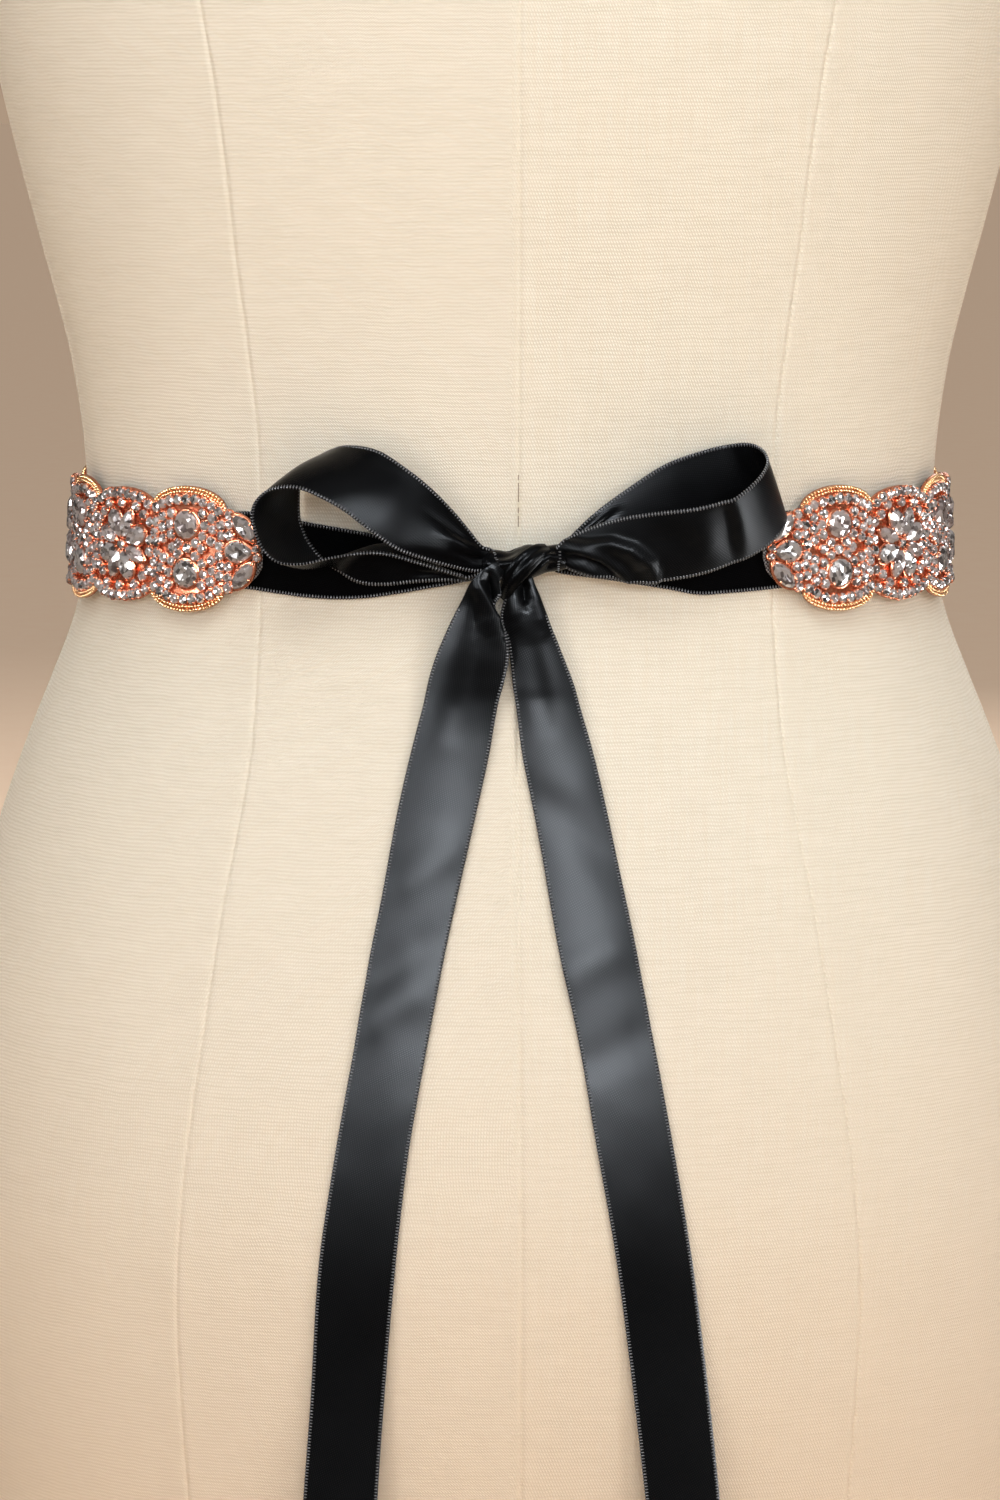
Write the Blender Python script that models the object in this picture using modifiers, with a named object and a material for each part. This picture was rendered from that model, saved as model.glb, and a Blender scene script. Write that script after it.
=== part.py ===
"""Rhinestone belt with a black satin bow, worn by a limbless dress form.

The back of the form faces -Y, +X is to the right of a viewer behind it, and it stands on z = 0.
"""
import math

import bmesh
import bpy
from mathutils import Matrix, Vector

# Sizes are in millimetres, and heights in the tables are measured from the waist line.
MM = 0.001
OBJECT_NAME = "rhinestone_belt_on_dress_form"
WAIST_HEIGHT = 370.0
GAP = 0.3

# The dress form: sections squarer than an ellipse, cut off flat at the armholes.
FORM_POWER = 2.2
FORM_SIDES = 72
ARM_PLANE = 160.0
ARM_START = 150.0

# Form sections: height, half width, depth of the back, depth of the front.
FORM_ROWS = (
    (-370.0, 155.0, 98.0, 84.0),
    (-335.0, 160.5, 105.0, 88.0),
    (-300.0, 165.0, 112.0, 92.0),
    (-265.0, 168.5, 117.5, 95.5),
    (-230.0, 171.0, 121.5, 99.0),
    (-195.0, 172.0, 123.0, 102.0),
    (-160.0, 170.0, 119.0, 104.0),
    (-130.0, 166.0, 112.5, 104.5),
    (-105.0, 160.5, 106.5, 103.5),
    (-83.0, 154.0, 101.0, 101.0),
    (-61.0, 146.0, 96.5, 97.5),
    (-45.0, 139.5, 93.2, 94.5),
    (-27.0, 132.5, 90.2, 91.0),
    (-12.0, 128.8, 88.5, 88.5),
    (3.0, 127.5, 88.0, 87.5),
    (27.0, 128.5, 88.8, 88.0),
    (52.0, 132.0, 91.0, 91.0),
    (73.0, 137.0, 93.5, 95.0),
    (92.0, 142.0, 96.5, 100.0),
    (118.0, 148.5, 100.5, 108.0),
    (145.0, 154.5, 104.0, 117.0),
    (185.0, 161.0, 107.0, 128.0),
    (225.0, 166.0, 108.0, 123.0),
    (265.0, 170.0, 106.0, 105.0),
    (300.0, 172.0, 101.0, 84.0),
    (326.0, 170.0, 94.0, 70.0),
    (345.0, 160.0, 86.0, 60.0),
    (359.0, 140.0, 78.0, 53.0),
    (371.0, 115.0, 71.0, 49.5),
    (382.0, 90.0, 64.5, 48.0),
    (393.0, 69.0, 58.5, 47.0),
    (405.0, 56.0, 53.0, 46.5),
    (424.0, 51.5, 48.5, 46.0),
    (445.0, 50.0, 47.0, 46.0),
)
NECK_TOP = 445.0

# More form sections under the belt, so that its layers lie close.
BELT_SECTIONS = (-20.0, -4.0, 11.0, 19.0)

NECK_CAP_THICK = 10.0
NECK_CAP_EDGE = 3.0
ARM_PLATE_THICK = 3.0
ARM_PLATE_HEIGHT = 124.0
ARM_PLATE_WIDTH = 66.0
ARM_PLATE_CENTRE = (0.0, 268.0)

# The ribbon, and the layers sewn on it, each lifted off the one under it.
CLOTH_THICK = 1.0
RIBBON_WIDTH = 22.0
RIBBON_LIFT = 0.4 + CLOTH_THICK / 2
BACKING_LIFT = RIBBON_LIFT + CLOTH_THICK + GAP
PLATE_THICK = 1.2
PLATE_LIFT = BACKING_LIFT + CLOTH_THICK / 2 + GAP + PLATE_THICK / 2

# The jewelled strip: places round the waist, from the centre back towards +X.
STRIP_START = 72.0
STRIP_END_FROM_BACK = 74.2
END_CAP_LENGTH = 11.2
MOTIF_COUNT = 21
RIBBON_UNDER_CAP = 10.2
ROUND_STATIONS = 88

# Outline of each kind of motif: half height at its edges, and what its arc adds at the middle.
PAIR_EDGE, PAIR_RISE = 12.2, 6.2
FLOWER_EDGE, FLOWER_RISE = 12.2, 4.6
CAP_TIP = 3.0
BACKING_INSET = 1.2
MOTIF_COLUMNS = 6
STRIP_PARTS = (-1.0, -0.5, 0.0, 0.5, 1.0)

# Stones: how far they stand up, and their plan sizes.
STONE_HEIGHT = 3.2
STONE_TABLE = 0.6
LARGE_STONE_RADIUS = 3.6
LARGE_STONE_SPREAD = 6.8
PETAL_COUNT = 8
PETAL_REACH = 6.4
PETAL_LENGTH, PETAL_WIDTH = 7.4, 3.6
CAP_PEAR_LENGTH, CAP_PEAR_WIDTH = 8.6, 6.0
CAP_PETAL_PLACE = (6.0, 6.8)

# Back ribbon on each side: x, height of the top edge, height of the bottom edge, lift off the form.
BACK_LEFT_ROWS = (
    (-81.4, 11.2, -10.8, 0.9),
    (-76.0, 11.3, -11.2, 0.9),
    (-69.0, 10.4, -12.0, 0.9),
    (-61.0, 8.9, -12.8, 0.9),
    (-52.0, 7.5, -13.1, 0.9),
    (-43.5, 6.2, -12.6, 1.0),
    (-34.0, 3.9, -11.1, 1.3),
    (-26.0, 1.6, -9.6, 1.6),
    (-19.0, 0.2, -8.3, 2.0),
    (-14.2, -0.5, -7.2, 2.1),
    (-10.8, -1.0, -6.4, 2.0),
)
BACK_RIGHT_ROWS = (
    (79.5, 11.2, -10.8, 0.9),
    (75.0, 11.0, -11.1, 0.9),
    (68.7, 10.4, -11.5, 0.9),
    (60.0, 9.6, -11.9, 0.9),
    (52.0, 8.4, -12.0, 0.9),
    (44.0, 6.6, -10.4, 1.0),
    (34.0, 4.6, -8.6, 1.3),
    (26.0, 3.2, -7.2, 1.6),
    (19.0, 2.2, -6.2, 2.0),
    (14.6, 1.8, -5.6, 2.0),
)

# Bow loops, from the knot out along the upper layer, round the turn and back.
# Columns: near edge x, height, lift; far edge x, height, lift; belly in height and in lift.
LOOP_LEFT_ROWS = (
    (-12.6, -4.0, 9.3, -10.7, 3.6, 8.4, 0.2, 0.6),
    (-19.6, -2.3, 12.0, -13.8, 7.4, 8.4, 0.6, 2.2),
    (-26.7, -0.1, 15.0, -19.0, 13.7, 8.4, 0.8, 2.0),
    (-34.7, 3.0, 18.0, -24.8, 19.8, 9.2, 0.6, 1.4),
    (-41.8, 7.9, 20.4, -31.1, 25.1, 11.0, 0.5, 1.0),
    (-49.5, 14.0, 22.4, -39.8, 30.5, 10.0, 0.6, 1.0),
    (-56.4, 18.0, 24.2, -48.4, 31.8, 7.0, 1.0, 1.2),
    (-61.8, 20.3, 25.2, -54.6, 29.6, 4.6, 1.8, 1.4),
    (-67.0, 20.6, 25.4, -59.0, 26.6, 3.4, 2.2, 1.4),
    (-71.8, 19.3, 25.0, -61.4, 23.1, 2.8, 1.6, 1.0),
    (-75.0, 16.2, 24.6, -62.6, 18.7, 2.6, 0.6, 0.6),
    (-76.2, 12.1, 24.2, -62.8, 14.3, 2.6, -0.2, 0.4),
    (-75.3, 7.5, 23.8, -62.6, 9.9, 2.6, -1.0, 0.2),
    (-73.2, 2.8, 22.6, -61.4, 6.2, 2.8, -1.8, 0.0),
    (-69.0, -0.8, 21.4, -59.6, 3.0, 3.2, -2.6, -0.4),
    (-62.4, -1.8, 20.0, -56.6, -0.6, 3.6, -3.2, -0.8),
    (-54.1, -0.6, 18.0, -52.4, -4.6, 4.2, -2.2, -0.8),
    (-44.3, 0.8, 15.6, -46.0, -8.2, 4.8, 0.6, -0.4),
    (-37.1, 0.2, 13.8, -38.5, -8.6, 5.2, 1.6, 0.4),
    (-28.2, -2.2, 11.8, -28.9, -7.4, 5.4, 1.2, 0.8),
    (-20.4, -4.6, 9.8, -20.8, -7.0, 5.6, 0.6, 0.8),
    (-15.2, -5.4, 8.2, -15.4, -7.0, 5.6, 0.2, 0.6),
    (-11.4, -4.6, 6.6, -11.6, -6.2, 5.2, 0.0, 0.2),
)
LOOP_RIGHT_ROWS = (
    (14.6, 4.6, 5.8, 15.4, -1.4, 5.2, 0.2, 0.6),
    (23.1, 11.4, 5.0, 25.4, -2.6, 4.2, 0.6, 0.8),
    (32.1, 19.2, 3.8, 37.4, 1.4, 3.4, 0.6, 0.6),
    (42.3, 26.0, 2.8, 48.0, 5.2, 2.8, 0.4, 0.4),
    (52.9, 29.6, 2.7, 57.0, 8.0, 2.7, 0.2, 0.3),
    (61.0, 31.4, 4.0, 65.4, 10.0, 2.9, 0.2, 0.6),
    (66.7, 31.8, 8.4, 71.8, 11.2, 4.2, 0.4, 1.0),
    (69.9, 30.2, 14.0, 75.6, 11.4, 6.6, 0.6, 1.0),
    (70.8, 27.4, 19.0, 77.4, 10.4, 9.0, 0.6, 0.6),
    (68.8, 23.9, 22.6, 76.6, 7.4, 11.0, 0.4, 0.6),
    (64.7, 20.2, 24.6, 72.8, 3.4, 12.6, 0.2, 0.8),
    (58.9, 16.6, 25.2, 65.4, -0.8, 13.6, 0.0, 1.0),
    (51.2, 14.2, 23.6, 53.6, -5.2, 13.2, 0.0, 1.4),
    (38.4, 12.3, 19.2, 39.5, -7.6, 11.0, 0.2, 1.8),
    (29.3, 9.9, 15.2, 30.7, -7.8, 9.0, 0.3, 2.0),
    (21.2, 7.0, 11.8, 22.0, -6.4, 7.6, 0.3, 1.8),
    (15.4, 5.2, 9.6, 15.8, -4.0, 7.4, 0.2, 1.2),
)

# Hanging tails: height, x of the left edge, x of the right edge, lift off the form, belly in lift.
TAIL_LEFT_ROWS = (
    (-3.4, -11.6, -7.4, 11.4, 0.3),
    (-8.0, -13.0, -7.6, 11.2, 0.6),
    (-13.4, -15.2, -8.0, 9.8, 1.2),
    (-20.5, -18.8, -4.8, 7.0, 2.0),
    (-27.5, -22.6, -3.6, 4.8, 2.4),
    (-35.0, -25.0, -4.4, 3.2, 2.2),
    (-43.0, -27.2, -6.2, 2.4, 1.8),
    (-57.5, -31.2, -8.8, 1.6, 1.2),
    (-75.0, -35.2, -12.8, 1.3, 0.8),
    (-94.5, -38.8, -17.4, 1.2, 0.6),
    (-115.0, -43.2, -22.0, 1.2, 0.6),
    (-136.0, -46.8, -26.2, 1.2, 0.5),
    (-154.0, -50.2, -29.6, 1.2, 0.5),
    (-172.0, -53.4, -32.6, 1.2, 0.5),
    (-202.0, -57.8, -36.0, 1.3, 0.4),
    (-240.0, -60.2, -39.2, 3.2, 0.4),
    (-272.0, -62.6, -41.4, 7.4, 0.5),
    (-305.0, -64.6, -43.2, 13.5, 0.6),
    (-340.0, -66.2, -44.8, 21.5, 0.6),
)
TAIL_RIGHT_ROWS = (
    (-8.0, -1.0, 4.4, 7.4, 0.6),
    (-14.4, -3.6, 7.2, 7.0, 1.6),
    (-19.0, -4.4, 8.6, 6.2, 2.0),
    (-23.5, -3.2, 10.6, 5.4, 2.2),
    (-30.0, -2.2, 13.0, 4.4, 2.2),
    (-37.0, -1.6, 15.8, 3.4, 2.0),
    (-43.5, -0.6, 17.6, 2.6, 1.7),
    (-57.5, 1.2, 21.6, 1.6, 1.2),
    (-82.0, 6.0, 27.2, 1.3, 0.8),
    (-109.5, 10.8, 32.8, 1.2, 0.6),
    (-136.5, 16.6, 38.0, 1.2, 0.6),
    (-166.0, 21.6, 43.4, 1.2, 0.5),
    (-197.0, 27.0, 48.6, 1.3, 0.4),
    (-232.0, 31.6, 53.2, 2.8, 0.4),
    (-272.0, 36.2, 57.6, 7.4, 0.5),
    (-305.0, 39.2, 60.6, 13.5, 0.6),
    (-340.0, 42.2, 63.4, 21.5, 0.6),
)
TAIL_END_SLANT = 9.0

# The knot: x, middle height, half height, middle lift, half depth of each section.
KNOT_ROWS = (
    (-10.2, -1.2, 3.0, 6.2, 3.2),
    (-8.4, -1.5, 3.9, 6.4, 4.2),
    (-4.5, -2.0, 4.3, 6.8, 5.0),
    (0.0, -2.0, 5.0, 7.0, 5.6),
    (4.6, -2.3, 5.2, 6.8, 5.4),
    (8.4, -1.9, 4.7, 6.5, 4.8),
    (12.2, -1.2, 4.3, 6.3, 4.2),
    (14.0, -1.0, 3.6, 6.2, 3.2),
)
KNOT_SIDES = 16

# The strap that crosses the knot and folds into the left tail, as a round-edged band.
# Columns: x, height, lift of its middle; half width; half thickness.
STRAP_ROWS = (
    (5.4, -2.2, 13.3, 3.4, 0.9),
    (2.2, -5.6, 13.7, 3.3, 0.9),
    (-0.8, -9.6, 12.6, 2.8, 0.9),
    (-3.0, -13.0, 11.0, 2.0, 0.9),
    (-4.4, -15.6, 9.8, 1.2, 0.8),
)
STRAP_SIDES = 12

STEPS_ALONG = 2
STEPS_ACROSS = 4

# Surface finishes: colour, roughness, metallic value.
LINEN = ("linen", (0.83, 0.71, 0.53), 0.85, 0.0)
SATIN = ("black_satin", (0.012, 0.013, 0.016), 0.35, 0.0)
MESH = ("clear_mesh", (0.62, 0.60, 0.60), 0.45, 0.0)
JEWELS = ("rose_gold_jewels", (0.86, 0.50, 0.38), 0.22, 0.75)


def smooth_row(rows, place):
    """The row at a place counted along a table, eased between rows and level at none of them."""
    index = min(int(place), len(rows) - 2)
    part = place - index
    here, after = rows[index], rows[index + 1]
    before = rows[index - 1] if index > 0 else here
    beyond = rows[index + 2] if index + 2 < len(rows) else after
    row = []
    for a, b, c, d in zip(before, here, after, beyond):
        bend = 2 * a - 5 * b + 4 * c - d
        twist = 3 * b - 3 * c + d - a
        row.append(b + 0.5 * part * (c - a + part * (bend + part * twist)))
    return row


def spread_rows(rows, steps):
    """Every row of a table, with evenly spaced eased rows between."""
    count = (len(rows) - 1) * steps
    return [smooth_row(rows, place / steps) for place in range(count + 1)]


def form_section(height):
    """Half width and depths of the form at a height."""
    last = len(FORM_ROWS) - 1
    index = 0
    while index < last - 1 and FORM_ROWS[index + 1][0] < height:
        index += 1
    low, high = FORM_ROWS[index], FORM_ROWS[index + 1]
    part = (height - low[0]) / (high[0] - low[0])
    before = FORM_ROWS[max(index - 1, 0)]
    beyond = FORM_ROWS[min(index + 2, last)]
    values = []
    for column in (1, 2, 3):
        rise_low = (high[column] - before[column]) / (high[0] - before[0])
        rise_high = (beyond[column] - low[column]) / (beyond[0] - low[0])
        span = high[0] - low[0]
        square, cube = part * part, part ** 3
        values.append(
            (2 * cube - 3 * square + 1) * low[column]
            + (cube - 2 * square + part) * span * rise_low
            + (3 * square - 2 * cube) * high[column]
            + (cube - square) * span * rise_high
        )
    return values


def world(x, y, height):
    """A point in metres from millimetres and a height over the waist."""
    return Vector((x * MM, y * MM, (height + WAIST_HEIGHT) * MM))


def form_point(turn, height, out):
    """A point at a distance off the form; turn 0 is the centre back, a quarter turn is +X."""
    half_width, back, front = form_section(height)
    side, away = math.sin(turn), math.cos(turn)
    depth = back if away > 0 else front
    reach = 2 / FORM_POWER
    x = half_width * math.copysign(abs(side) ** reach, side)
    y = -depth * math.copysign(abs(away) ** reach, away)
    slope_x = math.copysign(abs(x / half_width) ** (FORM_POWER - 1), x) / half_width
    slope_y = math.copysign(abs(y / depth) ** (FORM_POWER - 1), y) / depth
    length = math.hypot(slope_x, slope_y)
    if height > ARM_START:
        x = max(-ARM_PLANE, min(ARM_PLANE, x))
    return x + out * slope_x / length, y + out * slope_y / length


def back_point(x, height, lift):
    """A point in front of the form's back, at a distance along -Y."""
    half_width, back, _ = form_section(height)
    reach = max(0.0, 1 - abs(x / half_width) ** FORM_POWER)
    return world(x, -back * reach ** (1 / FORM_POWER) - lift, height)


def waist_stations():
    """Turns round the waist and the length of ribbon that reaches each of them."""
    steps = 720
    turns = [math.tau * step / steps for step in range(steps + 1)]
    lengths = [0.0]
    for start, end in zip(turns, turns[1:]):
        a = form_point(start, 0.0, RIBBON_LIFT)
        b = form_point(end, 0.0, RIBBON_LIFT)
        lengths.append(lengths[-1] + math.dist(a, b))
    return turns, lengths


TURNS, LENGTHS = waist_stations()
WAIST_ROUND = LENGTHS[-1]
STRIP_END = WAIST_ROUND - STRIP_END_FROM_BACK
MOTIF_PITCH = (STRIP_END - STRIP_START - 2 * END_CAP_LENGTH) / MOTIF_COUNT


def turn_at(along):
    """The turn that a length of ribbon from the centre back reaches."""
    index = 0
    while index < len(LENGTHS) - 2 and LENGTHS[index + 1] < along:
        index += 1
    part = (along - LENGTHS[index]) / (LENGTHS[index + 1] - LENGTHS[index])
    return TURNS[index] + part * (TURNS[index + 1] - TURNS[index])


def strip_point(along, height, lift):
    """A point on the jewelled strip, by its length round the waist."""
    x, y = form_point(turn_at(along), height, lift)
    return world(x, y, height)


def finish(spec):
    """A Principled material for one surface finish."""
    name, colour, roughness, metallic = spec
    material = bpy.data.materials.get(name) or bpy.data.materials.new(name)
    material.use_nodes = True
    material.diffuse_color = (*colour, 1.0)
    shader = material.node_tree.nodes["Principled BSDF"]
    shader.inputs["Base Color"].default_value = (*colour, 1.0)
    shader.inputs["Roughness"].default_value = roughness
    shader.inputs["Metallic"].default_value = metallic
    return material


def new_object(name, mesh, spec, collection):
    """An object from a bmesh, shaded smooth, with its own finish."""
    bmesh.ops.recalc_face_normals(mesh, faces=mesh.faces)
    data = bpy.data.meshes.new(name)
    mesh.to_mesh(data)
    mesh.free()
    for face in data.polygons:
        face.use_smooth = True
    data.materials.append(finish(spec))
    item = bpy.data.objects.new(name, data)
    collection.objects.link(item)
    return item


def add_loft(name, rings, spec, collection):
    """A closed solid through rings with the same count of points, flat at both ends."""
    mesh = bmesh.new()
    loops = [[mesh.verts.new(point) for point in ring] for ring in rings]
    for low, high in zip(loops, loops[1:]):
        for side in range(len(low)):
            after = (side + 1) % len(low)
            mesh.faces.new((low[side], low[after], high[after], high[side]))
    mesh.faces.new(loops[0])
    mesh.faces.new(loops[-1])
    return new_object(name, mesh, spec, collection)


def add_sheet(name, sections, thickness, spec, collection):
    """A wall of one thickness, centred on the surface through a list of sections."""
    mesh = bmesh.new()
    grid = [[mesh.verts.new(point) for point in section] for section in sections]
    for low, high in zip(grid, grid[1:]):
        for column in range(len(low) - 1):
            corners = (low[column], low[column + 1], high[column + 1], high[column])
            mesh.faces.new(corners)
    item = new_object(name, mesh, spec, collection)
    wall = item.modifiers.new("cloth_thickness", "SOLIDIFY")
    wall.thickness = thickness * MM
    wall.offset = 0.0
    wall.use_even_offset = True
    return item


def across(start, belly, end, steps):
    """Points on an arc from one edge to the other, pushed out by the belly at the middle."""
    points = []
    for step in range(steps + 1):
        part = step / steps
        points.append(start.lerp(end, part) + belly * (4 * part * (1 - part)))
    return points


def add_form(collection):
    """The torso, its neck cap and the plates that close the armholes."""
    rings = []
    turns = [math.tau * side / FORM_SIDES for side in range(FORM_SIDES)]
    for height in sorted([row[0] for row in FORM_ROWS] + list(BELT_SECTIONS)):
        rings.append([world(*form_point(turn, height, 0.0), height) for turn in turns])
    add_loft("form_body", rings, LINEN, collection)

    half_width, back, front = form_section(NECK_TOP)
    bpy.ops.mesh.primitive_cylinder_add(vertices=48, radius=MM, depth=NECK_CAP_THICK * MM)
    cap = bpy.context.object
    cap.scale = (half_width - 1.0, (back + front) / 2 - 1.0, 1.0)
    height = NECK_TOP + GAP + NECK_CAP_THICK / 2
    cap.location = world(0.0, (front - back) / 2, height)
    adopt(cap, "neck_cap", LINEN, collection)
    round_edges(cap, NECK_CAP_EDGE)

    for side, name in ((-1, "arm_plate_left"), (1, "arm_plate_right")):
        bpy.ops.mesh.primitive_cylinder_add(vertices=48, radius=MM, depth=ARM_PLATE_THICK * MM)
        plate = bpy.context.object
        plate.scale = (ARM_PLATE_HEIGHT / 2, ARM_PLATE_WIDTH / 2, 1.0)
        plate.rotation_euler = (0.0, math.radians(90.0), 0.0)
        across_x = side * (ARM_PLANE + GAP + ARM_PLATE_THICK / 2)
        plate.location = world(across_x, ARM_PLATE_CENTRE[0], ARM_PLATE_CENTRE[1])
        adopt(plate, name, LINEN, collection)
        round_edges(plate, ARM_PLATE_THICK / 3)


def adopt(item, name, spec, collection):
    """Name a primitive, give it its finish, apply its scale and file it with the parts."""
    bpy.ops.object.transform_apply(location=False, rotation=False, scale=True)
    item.name = name
    item.data.name = name
    item.data.materials.append(finish(spec))
    for face in item.data.polygons:
        face.use_smooth = True
    for owner in list(item.users_collection):
        owner.objects.unlink(item)
    collection.objects.link(item)


def round_edges(item, width):
    """A rounded edge on an applied primitive."""
    bevel = item.modifiers.new("rounded_edge", "BEVEL")
    bevel.width = width * MM
    bevel.segments = 2
    bevel.limit_method = "ANGLE"


def add_ribbons(collection):
    """The ribbon round the waist and its two stretches across the back."""
    start = STRIP_START + RIBBON_UNDER_CAP
    end = STRIP_END - RIBBON_UNDER_CAP
    sections = []
    for station in range(ROUND_STATIONS + 1):
        along = start + (end - start) * station / ROUND_STATIONS
        half = RIBBON_WIDTH / 2
        sections.append([strip_point(along, part * half, RIBBON_LIFT) for part in STRIP_PARTS])
    add_sheet("ribbon_round", sections, CLOTH_THICK, SATIN, collection)

    for name, rows in (("ribbon_back_left", BACK_LEFT_ROWS), ("ribbon_back_right", BACK_RIGHT_ROWS)):
        sections = []
        for x, top, bottom, lift in spread_rows(rows, STEPS_ALONG):
            heights = [bottom + (top - bottom) * step / STEPS_ACROSS for step in range(STEPS_ACROSS + 1)]
            sections.append([back_point(x, height, lift) for height in heights])
        add_sheet(name, sections, CLOTH_THICK, SATIN, collection)


def add_bow(collection):
    """The two loops, the knot with its crossing strap, and the two hanging tails."""
    for name, rows in (("bow_loop_left", LOOP_LEFT_ROWS), ("bow_loop_right", LOOP_RIGHT_ROWS)):
        sections = []
        for row in spread_rows(rows, STEPS_ALONG):
            near, far = back_point(*row[0:3]), back_point(*row[3:6])
            belly = Vector((0.0, -row[7] * MM, row[6] * MM))
            sections.append(across(near, belly, far, STEPS_ACROSS))
        add_sheet(name, sections, CLOTH_THICK, SATIN, collection)

    for name, rows in (("tail_left", TAIL_LEFT_ROWS), ("tail_right", TAIL_RIGHT_ROWS)):
        sections = []
        stations = spread_rows(rows, STEPS_ALONG)
        for index, (height, left, right, lift, bulge) in enumerate(stations):
            slant = TAIL_END_SLANT if index == len(stations) - 1 else 0.0
            start = back_point(left, height, lift)
            end = back_point(right, height + slant, lift)
            sections.append(across(start, Vector((0.0, -bulge * MM, 0.0)), end, STEPS_ACROSS))
        add_sheet(name, sections, CLOTH_THICK, SATIN, collection)

    rings = []
    for x, height, half_height, lift, half_depth in spread_rows(KNOT_ROWS, STEPS_ALONG):
        ring = []
        for side in range(KNOT_SIDES):
            turn = math.tau * side / KNOT_SIDES
            out = lift + half_depth * math.cos(turn)
            centre = back_point(x, 0.0, out)
            ring.append(centre + Vector((0.0, 0.0, (height + half_height * math.sin(turn)) * MM)))
        rings.append(ring)
    add_loft("bow_knot", rings, SATIN, collection)

    rows = spread_rows(STRAP_ROWS, STEPS_ALONG)
    first, last = rows[0], rows[-1]
    run = Vector((last[0] - first[0], 0.0, last[1] - first[1])).normalized()
    wide = Vector((-run.z, 0.0, run.x))
    rings = []
    for x, height, lift, half_width, half_thick in rows:
        ring = []
        centre = back_point(x, 0.0, lift) + Vector((0.0, 0.0, height * MM))
        for side in range(STRAP_SIDES):
            turn = math.tau * side / STRAP_SIDES
            edge = wide * (half_width * math.cos(turn) * MM)
            ring.append(centre + edge + Vector((0.0, half_thick * math.sin(turn) * MM, 0.0)))
        rings.append(ring)
    add_loft("bow_strap", rings, SATIN, collection)


def motif_outline(kind, across_part):
    """Half height of a motif; across_part runs from -1 to 1 over it, or 0 to 1 to a cap's tip."""
    arc = math.sqrt(max(0.0, 1 - across_part * across_part))
    if kind == "cap":
        return CAP_TIP + (PAIR_EDGE - CAP_TIP) * arc
    edge, rise = (PAIR_EDGE, PAIR_RISE) if kind == "pair" else (FLOWER_EDGE, FLOWER_RISE)
    return edge + rise * arc


def strip_pieces():
    """Every piece of the strip in turn: name, kind, start and end along the waist."""
    pieces = []
    along = STRIP_START + END_CAP_LENGTH
    pieces.append(("end_cap_right", "cap", along, STRIP_START))
    for index in range(MOTIF_COUNT):
        kind = "pair" if index % 2 == 0 else "flower"
        pieces.append((f"motif_{index + 1:02d}_{kind}", kind, along, along + MOTIF_PITCH))
        along += MOTIF_PITCH
    pieces.append(("end_cap_left", "cap", along, STRIP_END))
    return pieces


def outline_places(kind, start, end, inset):
    """Columns over one piece: place along the waist and the half height there."""
    places = []
    for column in range(MOTIF_COLUMNS + 1):
        if kind == "cap":
            part = math.sin(math.pi / 2 * column / MOTIF_COLUMNS)
            along = start + (end - start) * part
        else:
            part = -math.cos(math.pi * column / MOTIF_COLUMNS)
            along = (start + end) / 2 + (end - start) / 2 * part
        places.append((along, motif_outline(kind, part) - inset))
    return places


def add_backing(collection):
    """The clear mesh that carries every motif, a little smaller than their outline."""
    sections = []
    for _, kind, start, end in strip_pieces():
        places = outline_places(kind, start, end, BACKING_INSET)
        if kind == "cap" and not sections:
            places.reverse()
        for along, half_height in places:
            section = [strip_point(along, part * half_height, BACKING_LIFT) for part in STRIP_PARTS]
            if not sections or (sections[-1][2] - section[2]).length > 0.5 * MM:
                sections.append(section)
    add_sheet("applique_backing", sections, CLOTH_THICK, MESH, collection)


def stone_frame(along, height):
    """A frame on the plate's face: X along the strip, Y up, Z out."""
    out = strip_point(along, height, PLATE_LIFT + 1.0) - strip_point(along, height, PLATE_LIFT)
    out.normalize()
    up = Vector((0.0, 0.0, 1.0))
    side = up.cross(out)
    frame = Matrix((side, up, out)).transposed().to_4x4()
    frame.translation = strip_point(along, height, PLATE_LIFT)
    return frame


def stones_of(kind, start, end):
    """Stones of a piece: place along, height, turn in plane, half length, half width."""
    middle = (start + end) / 2
    if kind == "pair":
        radius = LARGE_STONE_RADIUS
        return [(middle, side * LARGE_STONE_SPREAD, 0.0, radius, radius) for side in (-1, 1)]
    if kind == "cap":
        way = math.copysign(1.0, end - start)
        tilt_place, tilt_height = CAP_PETAL_PLACE
        half_length, half_width = PETAL_LENGTH / 2, PETAL_WIDTH / 2
        stones = [(start + way * 4.6, 0.0, 0.0, CAP_PEAR_LENGTH / 2, CAP_PEAR_WIDTH / 2)]
        for side in (-1, 1):
            tilt = -side * way * math.radians(48.0)
            stones.append((start + way * tilt_place, side * tilt_height, tilt, half_length, half_width))
        return stones
    stones = []
    for petal in range(PETAL_COUNT):
        turn = math.tau * (petal + 0.5) / PETAL_COUNT
        along = middle + PETAL_REACH * math.cos(turn)
        height = PETAL_REACH * math.sin(turn)
        stones.append((along, height, turn, PETAL_LENGTH / 2, PETAL_WIDTH / 2))
    return stones


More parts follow.
